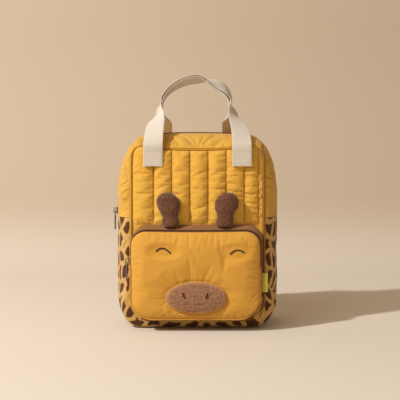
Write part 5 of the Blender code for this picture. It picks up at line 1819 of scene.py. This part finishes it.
@dataclass
class Handles:
    """Two webbings, one from each side of the bag, that are sewn together at the grip."""

    form: BagForm
    finishes: Finishes
    width: float = 0.030
    wall: float = 0.0017
    front_spacing: float = 0.137
    back_spacing: float = 0.113
    front_bottom: float = 0.252
    back_bottom: float = 0.266
    layer_gap: float = 0.0016
    edge_clearance: float = 0.004
    grip_half_width: float = 0.0575
    grip_base: float = 0.350
    grip_rise: float = 0.040
    grip_power: float = 1.75
    lean: float = 0.0055
    lean_height: float = 0.343
    lean_reach: float = 0.022
    tilt_left: float = 20.0
    tilt_right: float = -42.0
    box_half: float = 0.0125
    legs: tuple = ((0.0, 0.0, 0.0, 0.0), (0.05, 0.12, 0.18, 0.13), (0.20, 0.40, 0.44, 0.31),
                   (0.44, 0.69, 0.66, 0.62), (0.70, 0.88, 0.84, 0.96), (1.0, 1.0, 1.0, 1.0))

    def grip(self, layer: int) -> tuple[Array, Array]:
        """The arched grip: a superellipse, with the webbing tilted one way and then the other.

        Args:
            layer: 1 for the outer webbing, -1 for the inner one.

        Returns:
            Points of the middle line, and the directions across the webbing.
        """
        angle = np.linspace(np.pi, 0.0, 400)
        power = 2 / self.grip_power
        x = self.grip_half_width * np.sign(np.cos(angle)) * np.abs(np.cos(angle)) ** power
        z = self.grip_base + self.grip_rise * np.abs(np.sin(angle)) ** power
        middle = resample(np.stack([x, 0 * x, z], axis=1), 170)
        along = unit(np.gradient(middle, axis=0))
        across = np.tile([0.0, -1.0, 0.0], (len(middle), 1))
        facing = -np.cross(along, across)
        share = np.linspace(0.0, 1.0, len(middle))
        change = smoothstep(0.48, 0.78, share)
        most = np.radians(self.tilt_left + (self.tilt_right - self.tilt_left) * change)
        tilt = most * np.sin(np.pi * share)
        across = turned(across, facing, tilt)
        facing = -np.cross(along, across)
        return middle + layer * facing * (self.wall + self.layer_gap) / 2, across

    def line(self, layer: int, spacing: float, bottom: float, seat: float,
             edge: float) -> tuple[Array, Array]:
        """Middle line of a webbing from foot to foot, and the directions across it."""
        points, across = self.grip(layer)
        start = np.array([spacing / 2, -layer * (abs(seat) + self.form.gap + self.wall / 2), edge])
        way = points[0] * [-1.0, 1.0, 1.0] - start
        rows = [(*start[:2], bottom, 0.0), (*start[:2], bottom + (edge - bottom) * 0.6, 0.0)]
        rows += [(*(start + way * (inward, back, up)), turn) for inward, back, up, turn in self.legs]
        leg = resample(smooth_path(rows), 150)
        turn = leg[:, 3] * np.pi / 2
        mirror = np.array([-1.0, 1.0, 1.0])
        left_across = np.stack([np.cos(turn), -np.sin(turn), 0 * turn], axis=1)
        path = np.vstack([leg[:-1, :3] * mirror, points, leg[::-1, :3][1:]])
        lean = np.exp(-((path[:, 2] - self.lean_height) / self.lean_reach) ** 2) * (path[:, 0] > 0.02)
        path[:, 0] -= self.lean * lean * smoothstep(0.0, 0.4, path[:, 0] / self.grip_half_width)
        sideways = np.vstack([left_across[:-1], across, (left_across[::-1] * mirror)[1:]])
        along = unit(np.gradient(path, axis=0))
        return path, unit(sideways - along * np.sum(sideways * along, axis=1, keepdims=True))

    def build(self) -> None:
        """Make both webbings with their sewn ends."""
        form = self.form
        front_seat = form.panel_face - form.panel_dome - form.quilt_relief
        jobs = (("front", 1, form.front, self.front_spacing, self.front_bottom, front_seat),
                ("back", -1, form.back, self.back_spacing, self.back_bottom, form.back_face))
        for word, layer, outline, spacing, bottom, seat in jobs:
            name = f"{word}_webbing"
            edge = float(outline.top_at(np.array(spacing / 2))) + self.edge_clearance
            path, across = self.line(layer, spacing, bottom, seat, edge)
            facing = -np.cross(unit(np.gradient(path, axis=0)), across)
            facing = facing * np.sign(np.sum(facing[0] * np.array([0.0, -layer, 0.0])))
            piece = webbing(name, path, across, facing, self.width, self.wall, self.finishes["webbing"])
            dress(piece, Slot.WEBBING, (f"handle_{word}",))
            self.sew(name, path, across, facing, bottom, edge)

    def sew(self, name: str, path: Array, across: Array, facing: Array, bottom: float, edge: float) -> None:
        """Add a sewn box of stitches at both ends of a webbing."""
        work = Patchwork()
        for order in (slice(None), slice(None, None, -1)):
            line, wide, out = path[order], across[order], facing[order]
            count = int(np.argmax(line[:, 2] > bottom + 0.72 * (edge - bottom)))
            line, wide, out = line[:count], wide[:count], out[:count]
            start, stop, half = line[0] + [0, 0, 0.0022], line[-1], wide[0] * self.box_half
            corners = [start - half, start + half, stop + half, stop - half, start - half]
            for first, second in zip(corners[:-1], corners[1:]):
                side = np.linspace(first, second, 30) + out[0] * (self.wall / 2 + 0.00005)
                stitches(work, side, out[0], radius=0.0003)
        dress(work.build(f"{name}_stitches", self.finishes["cream_thread"]), Slot.WEBBING)


def webbing(name: str, path: Array, across: Array, facing: Array, width: float, wall: float,
            material: bpy.types.Material, columns: int = 17) -> bpy.types.Object:
    """Make a woven strap: a flat strip with rounded, slightly waved edges.

    Args:
        name: Name of the piece.
        path: Middle line.
        across: Unit vectors across it.
        facing: Unit vectors out of its face.
        width: Width of the strap.
        wall: Its thickness.
        material: Its finish.
        columns: Points across.

    Returns:
        The new object.
    """
    share = np.sin(np.linspace(-np.pi / 2, np.pi / 2, columns))
    thick = wall / 2 * (0.30 + 0.70 * np.sqrt(1 - 0.98 * share ** 8))
    length = measured(path)
    wave = 1 + 0.006 * noise(length / 0.012, 0 * length, 91.0)
    middle = path[:, None] + across[:, None] * (share * width / 2)[None, :, None] * wave[:, None, None]
    offset = facing[:, None] * thick[None, :, None]
    flat = plane(length, share * width / 2)
    work = Patchwork()
    work.add_wall(middle + offset, middle - offset, flat=flat)
    return work.build(name, material)


# Back: panel, shoulder straps and their webbings

@dataclass
class Harness:
    """The padded back panel, shoulder straps, adjusters and lower webbings."""

    form: BagForm
    finishes: Finishes
    strap_width: float = 0.046
    strap_thick: float = 0.009
    strap_top: float = 0.262
    strap_end: float = 0.112
    top_spacing: float = 0.072
    end_spacing: float = 0.152
    standoff: float = 0.034
    tail_width: float = 0.020
    tail_wall: float = 0.0017
    foot_spacing: float = 0.176
    foot_height: float = 0.036
    loose_end: float = 0.040
    adjuster_height: float = 0.024
    adjuster_thick: float = 0.0032
    adjuster_bar: float = 0.0040
    groove: float = 0.0016
    groove_pitch: float = 0.042
    strap_stations: int = 190
    strap_length: float = 0.19
    strap_seam: float = 0.80
    puckers: Ripple = Ripple(0.0004, 0.006, 0.020, 101.0)
    lumps: Ripple = Ripple(0.0004, 0.025, 0.020, 102.0)
    strap_lumps: Ripple = Ripple(0.0004, 0.016, 0.020, 111.0)
    rows: tuple = ((0.0, 0.0, 0.0), (0.10, 0.02, 0.05), (0.24, 0.08, 0.62), (0.42, 0.24, 0.96),
                   (0.62, 0.50, 1.0), (0.82, 0.80, 0.72), (1.0, 1.0, 0.40))

    def build(self) -> None:
        """Make the back panel, its piping, and both straps."""
        form = self.form
        self.build_panel()
        Piping(form, self.finishes).build("back_cord", "back_piping", form.back, form.depth / 2)
        for word, side in (("left", -1), ("right", 1)):
            self.build_strap(word, side)
            self.build_tail(word, side)
            bevelled_copy(f"ladder_lock_{word}", f"adjuster_{word}", self.finishes["plastic"], Slot.PLASTIC,
                          BAG, 0.0006)

    def build_panel(self) -> None:
        """Make the back panel: level pads between sewn grooves that cross it."""
        form = self.form
        inside = form.back.inset(form.piping_radius + form.gap + form.seam_ease)
        turn = np.linspace(-1.0, 1.0, 140)
        x = inside.half_width * (0.8 * turn + 0.2 * np.sin(turn * np.pi / 2))
        low, high = inside.bottom_at(x)[:, None], inside.top_at(x)[:, None]
        z = low + (high - low) * np.linspace(0.0, 1.0, 170)[None]
        x = np.repeat(x[:, None], z.shape[1], axis=1)
        phase = (z - form.centre[2]) / self.groove_pitch
        near = np.abs(phase - np.round(phase)) * self.groove_pitch
        edge = np.minimum.reduce([inside.half_width - np.abs(x), high - z, z - low])
        dent = self.groove * np.exp(-(near / 0.0035) ** 2) + 0.0026 * np.clip(1 - edge / 0.007, 0, 1) ** 2
        uneven = self.puckers.at(x, z) * np.exp(-near / 0.008) + self.lumps.at(x, z)
        y = form.back_face - dent - np.abs(uneven)
        outer = np.stack([x, y, z], axis=-1)
        inner = np.stack([x, np.full_like(x, form.back_face - form.back_wall), z], axis=-1)
        # Painted shade in the sewn grooves.
        tone = 0.6 * np.exp(-(near / 0.0012) ** 2)
        work = Patchwork()
        work.add_wall(outer, inner, tone, flat=np.stack([x, z], axis=-1))
        piece = work.build("padded_back", self.finishes["back"])
        dress(piece, Slot.BACK, ("back_panel",))

    def strap_line(self, side: int, count: int) -> tuple[Array, Array, Array, Array]:
        """Middle line of a strap, and its directions along, across and outwards."""
        seat = self.form.back_face + self.form.gap + self.strap_thick / 2
        points = [(side * (self.top_spacing + (self.end_spacing - self.top_spacing) * out) / 2,
                   seat + self.standoff * away, self.strap_top + (self.strap_end - self.strap_top) * down)
                  for down, out, away in self.rows]
        path = resample(smooth_path(points), count)
        along = unit(np.gradient(path, axis=0))
        across = unit(np.cross(along, BACKWARD))
        return path, along, across, unit(np.cross(across, along))

    def build_strap(self, word: str, side: int) -> None:
        """Make a padded strap: a flattened oval section with a bound edge and two rows of stitches."""
        path, _, across, facing = self.strap_line(side, self.strap_stations)
        share = np.sin(np.linspace(-np.pi / 2, np.pi / 2, 41))
        profile = self.strap_thick / 2 * (0.24 + 0.76 * np.sqrt(np.clip(1 - np.abs(share) ** 3.2, 0, 1)))
        from_stitches = np.abs(share) - self.strap_seam
        dent = 0.0014 * np.exp(-(from_stitches / 0.045) ** 2)
        length = np.linspace(0.0, 1.0, self.strap_stations)
        tall = np.minimum(smoothstep(0.0, 0.05, length), smoothstep(1.0, 0.95, length)) * 0.7 + 0.3
        flat = plane(length * self.strap_length, share * self.strap_width / 2)
        lumps = self.strap_lumps.at(flat[..., 0], flat[..., 1], side)
        half = (profile - dent)[None] * tall[:, None] + lumps * (np.abs(share) < 0.75)
        middle = path[:, None] + across[:, None] * (share * self.strap_width / 2)[None, :, None]
        outer = middle + facing[:, None] * half[..., None]
        inner = middle - facing[:, None] * half[..., None]
        work = Patchwork()
        # The tone paints shade along the dents of the stitch rows.
        work.add_wall(outer, inner, 0.5 * np.exp(-(from_stitches / 0.03) ** 2), flat=flat)
        piece = work.build(f"padded_strap_{word}", self.finishes["back"])
        dress(piece, Slot.BACK, (f"shoulder_strap_{word}",))
        rows = Patchwork()
        for hand in (-1, 1):
            column = int(np.argmin(np.abs(share - hand * self.strap_seam)))
            stitches(rows, outer[4:-4, column], facing[4:-4])
        for row in (6, 16):
            stitches(rows, outer[row, 8:-8] + facing[row] * 0.0002, facing[row])
        dress(rows.build(f"strap_stitches_{word}", self.finishes["seam"]), Slot.BACK)

    def build_tail(self, word: str, side: int) -> None:
        """Make the webbing from the bag's lower corner, round the adjuster's bar and down again."""
        end, along, across, facing = (rows[-1] for rows in self.strap_line(side, 17))
        gap = self.form.gap
        centre = end + along * (gap + self.adjuster_height / 2)
        lift = self.adjuster_thick / 2 + gap + self.tail_wall / 2
        foot = np.array([side * self.foot_spacing / 2, self.form.back_face + gap + self.tail_wall / 2,
                         self.foot_height])
        back_foot = foot + np.array([-side * 0.003, 0.0, 0.014])
        edge = self.adjuster_height / 2
        turn = self.adjuster_bar / 2 + gap + self.tail_wall
        under = centre + along * (edge + 0.010) - facing * (lift + 0.001)
        leave = centre + along * (edge + 0.004) + facing * (lift + 0.0005)
        hang = unit(along * np.array([1.0, 0.0, 1.0])) * self.loose_end
        rows = [foot, back_foot, back_foot + (under - back_foot) * 0.4, under,
                centre + along * (edge - 0.002) - facing * lift, centre - facing * lift,
                centre - along * turn * 0.9 - facing * lift * 0.8, centre - along * turn * 1.3,
                centre - along * turn * 0.9 + facing * lift * 0.8, centre + facing * lift,
                centre + along * (edge - 0.002) + facing * lift, leave, leave + hang]
        line = resample(smooth_path(rows), 200)
        direction = unit(np.gradient(line, axis=0))
        wide = unit(across - direction * np.sum(direction * across, axis=1, keepdims=True))
        out = unit(np.cross(wide, direction))
        piece = webbing(f"lower_webbing_{word}", line, wide, out, self.tail_width, self.tail_wall,
                        self.finishes["webbing"], columns=11)
        dress(piece, Slot.WEBBING, (f"strap_tail_{word}",))
        work = Patchwork()
        lifted = out[2] * (self.tail_wall / 2 + 0.00005) * np.sign(out[2][1])
        for shift in (0.004, 0.010):
            row = np.linspace(-0.008, 0.008, 12)[:, None] * wide[2] + line[0] + direction[2] * shift + lifted
            stitches(work, row, lifted / np.linalg.norm(lifted), radius=0.0003)
        dress(work.build(f"foot_stitches_{word}", self.finishes["cream_thread"]), Slot.WEBBING)


def bevelled_copy(name: str, node: str, material: bpy.types.Material, slot: Slot, body: str,
                  width: float) -> bpy.types.Object:
    """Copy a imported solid, merge its triangles' corners and round its edges.

    Args:
        name: Name of the new piece.
        node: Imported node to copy.
        material: Its finish.
        slot: Its material slot.
        body: Body that it rides on.
        width: Width of the rounding.

    Returns:
        The new piece.
    """
    mesh = bpy.data.objects[node].data.copy()
    mesh.name = name
    merge_points(mesh, 1e-6)
    mesh.materials.clear()
    mesh.materials.append(material)
    piece = put_in_scene(name, mesh)
    mesh.shade_smooth()
    rounding = piece.modifiers.new("Rounding", "BEVEL")
    rounding.width = width
    rounding.segments = 3
    rounding.limit_method = "ANGLE"
    rounding.angle_limit = np.radians(35.0)
    rounding.harden_normals = False
    mesh.set_sharp_from_angle(angle=np.radians(50.0))
    return dress(piece, slot, (node,), body=body)


@dataclass
class Metalwork:
    """Sliders and pulls of both zips."""

    finishes: Finishes
    rounding: float = 0.0003

    def build(self) -> None:
        """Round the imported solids' edges; each pull rides on its own body."""
        for word in ("main", "pocket"):
            bevelled_copy(f"{word}_zip_slider", f"{word}_slider", self.finishes["metal"], Slot.METAL, BAG,
                          self.rounding)
            bevelled_copy(f"{word}_zip_pull", f"{word}_pull", self.finishes["metal"], Slot.METAL,
                          f"{word}_pull", self.rounding)


# Stage, light and camera

@dataclass(frozen=True)
class Studio:
    """Seamless pale stage, a hard and a soft lamp from the front left, and the camera."""

    eye_height: float = 0.300
    distance: float = 1.500
    focal_pixels: float = 932.0
    frame_pixels: float = 400.0
    sensor: float = 36.0
    horizon: float = 135.0
    centre: float = 197.5
    wall_place: float = 1.1
    cove: float = 0.6
    floor_half: float = 3.0
    wall_height: float = 2.4
    aim: tuple[float, float, float] = (0.0, 0.0, 0.15)
    floor_colour: Colour = (0.705, 0.640, 0.562)
    wall_colour: Colour = (0.560, 0.460, 0.352)
    key_colour: Colour = (0.98, 0.965, 0.93)
    soft_colour: Colour = (1.0, 0.95, 0.88)
    fill_colour: Colour = (1.0, 0.78, 0.56)
    fill_strength: float = 0.39

    def camera(self) -> None:
        """Stand the camera level at the photograph's viewing height and distance."""
        data = bpy.data.cameras.new("view")
        data.sensor_width = self.sensor
        data.lens = self.focal_pixels / self.frame_pixels * self.sensor
        data.shift_x = (self.frame_pixels / 2 - self.centre) / self.frame_pixels
        data.shift_y = (self.horizon - self.frame_pixels / 2) / self.frame_pixels
        data.clip_start = 0.05
        eye = put_in_scene("view", data)
        eye.location = (0.0, -self.distance, self.eye_height)
        eye.rotation_euler = (np.pi / 2, 0.0, 0.0)
        bpy.context.scene.camera = eye

    def stage(self) -> None:
        """Sweep a profile sideways: floor, quarter round, wall. It can't be seen from behind."""
        turn = np.linspace(0.0, np.pi / 2, 24)
        start = self.wall_place - self.cove
        bend = np.stack([start + self.cove * np.sin(turn), self.cove * (1 - np.cos(turn))], axis=1)
        profile = np.vstack([[-self.floor_half, 0.0], bend, [self.wall_place, self.wall_height]])
        x = np.array([-self.floor_half, self.floor_half])
        grid = np.stack([np.broadcast_to(x[None], (len(profile), 2)),
                         np.broadcast_to(profile[:, :1], (len(profile), 2)),
                         np.broadcast_to(profile[:, 1:], (len(profile), 2))], axis=-1)
        mesh = bpy.data.meshes.new("backdrop")
        number = np.arange(len(profile) * 2).reshape(-1, 2)
        faces = np.stack([number[:-1, 0], number[:-1, 1], number[1:, 1], number[1:, 0]], axis=-1)
        mesh.from_pydata(grid.reshape(-1, 3).tolist(), [], faces.tolist())
        material, sheet, shader = start_material("backdrop_paper")
        place = sheet.node("TexCoord").outputs["Object"]
        grain = sheet.node("TexNoise", {"Vector": place, "Scale": 60.0, "Detail": 4.0}).outputs[0]
        height = sheet.node("SeparateXYZ", {0: place}).outputs[2]
        up = sheet.ramp(height, -0.02, 0.15)
        # One paper: the wall colour is painted darker than the floor's, as painted shade up the sweep.
        wire(sheet, shader, sheet.mix(up, self.floor_colour, self.wall_colour), grain, 0.05, 0.0005)
        behind = sheet.node("NewGeometry").outputs["Backfacing"]
        sheet.put(shader, {"Roughness": 0.9, "Specular IOR Level": 0.1,
                           "Alpha": sheet.math("SUBTRACT", 1.0, behind)})
        mesh.materials.append(material)
        mesh.shade_smooth()
        floor = put_in_scene("backdrop", mesh)

    def lamp(self, name: str, azimuth: float, elevation: float, distance: float, size: float,
             strength: float, colour: Colour) -> None:
        """Hang a round lamp that faces the bag.

        Args:
            name: Name of the lamp.
            azimuth: Direction in which its light travels, in degrees from +X.
            elevation: Height above the floor, in degrees.
            distance: From the bag.
            size: Diameter of the lamp.
            strength: Light that falls on a surface facing it at the bag.
            colour: Colour of the light.
        """
        data = bpy.data.lights.new(name, "AREA")
        data.shape = "DISK"
        data.size = size
        data.energy = strength * np.pi * distance ** 2
        data.color = colour
        lamp = put_in_scene(name, data)
        turn, rise = np.radians(azimuth), np.radians(elevation)
        travel = np.array([np.cos(turn) * np.cos(rise), np.sin(turn) * np.cos(rise), -np.sin(rise)])
        lamp.location = np.array(self.aim) - travel * distance
        lamp.rotation_euler = (np.arccos(-travel[2]), 0.0, np.arctan2(travel[1], travel[0]) - np.pi / 2)

    def lights(self) -> None:
        """Hang the lamps over an even, dim fill from the world."""
        self.lamp("key", azimuth=34.0, elevation=38.0, distance=3.5, size=0.15, strength=2.95,
                  colour=self.key_colour)
        self.lamp("front_softbox", azimuth=50.0, elevation=46.0, distance=2.6, size=1.5, strength=0.50,
                  colour=self.soft_colour)
        world = bpy.data.worlds.new("fill")
        world.use_nodes = True
        background = world.node_tree.nodes["Background"]
        background.inputs["Color"].default_value = (*self.fill_colour, 1.0)
        background.inputs["Strength"].default_value = self.fill_strength
        bpy.context.scene.world = world
        bpy.context.scene.view_settings.view_transform = "Standard"


def main() -> None:
    """Build every part in order."""
    logging.basicConfig(level=logging.INFO, format="%(message)s")
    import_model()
    form = BagForm()
    finishes = Finishes()
    studio = Studio()
    studio.camera()
    QuiltedFront(form, finishes).build()
    bands = SideBands(form, finishes)
    bands.build_top()
    bands.build_lower()
    bands.build_zip()
    pocket = Pocket(form, finishes)
    pocket.build()
    Face(form, pocket, finishes).build()
    Tag(form, pocket, finishes).build()
    Handles(form, finishes).build()
    Harness(form, finishes).build()
    Metalwork(finishes).build()
    studio.stage()
    studio.lights()


if __name__ == "__main__":
    main()
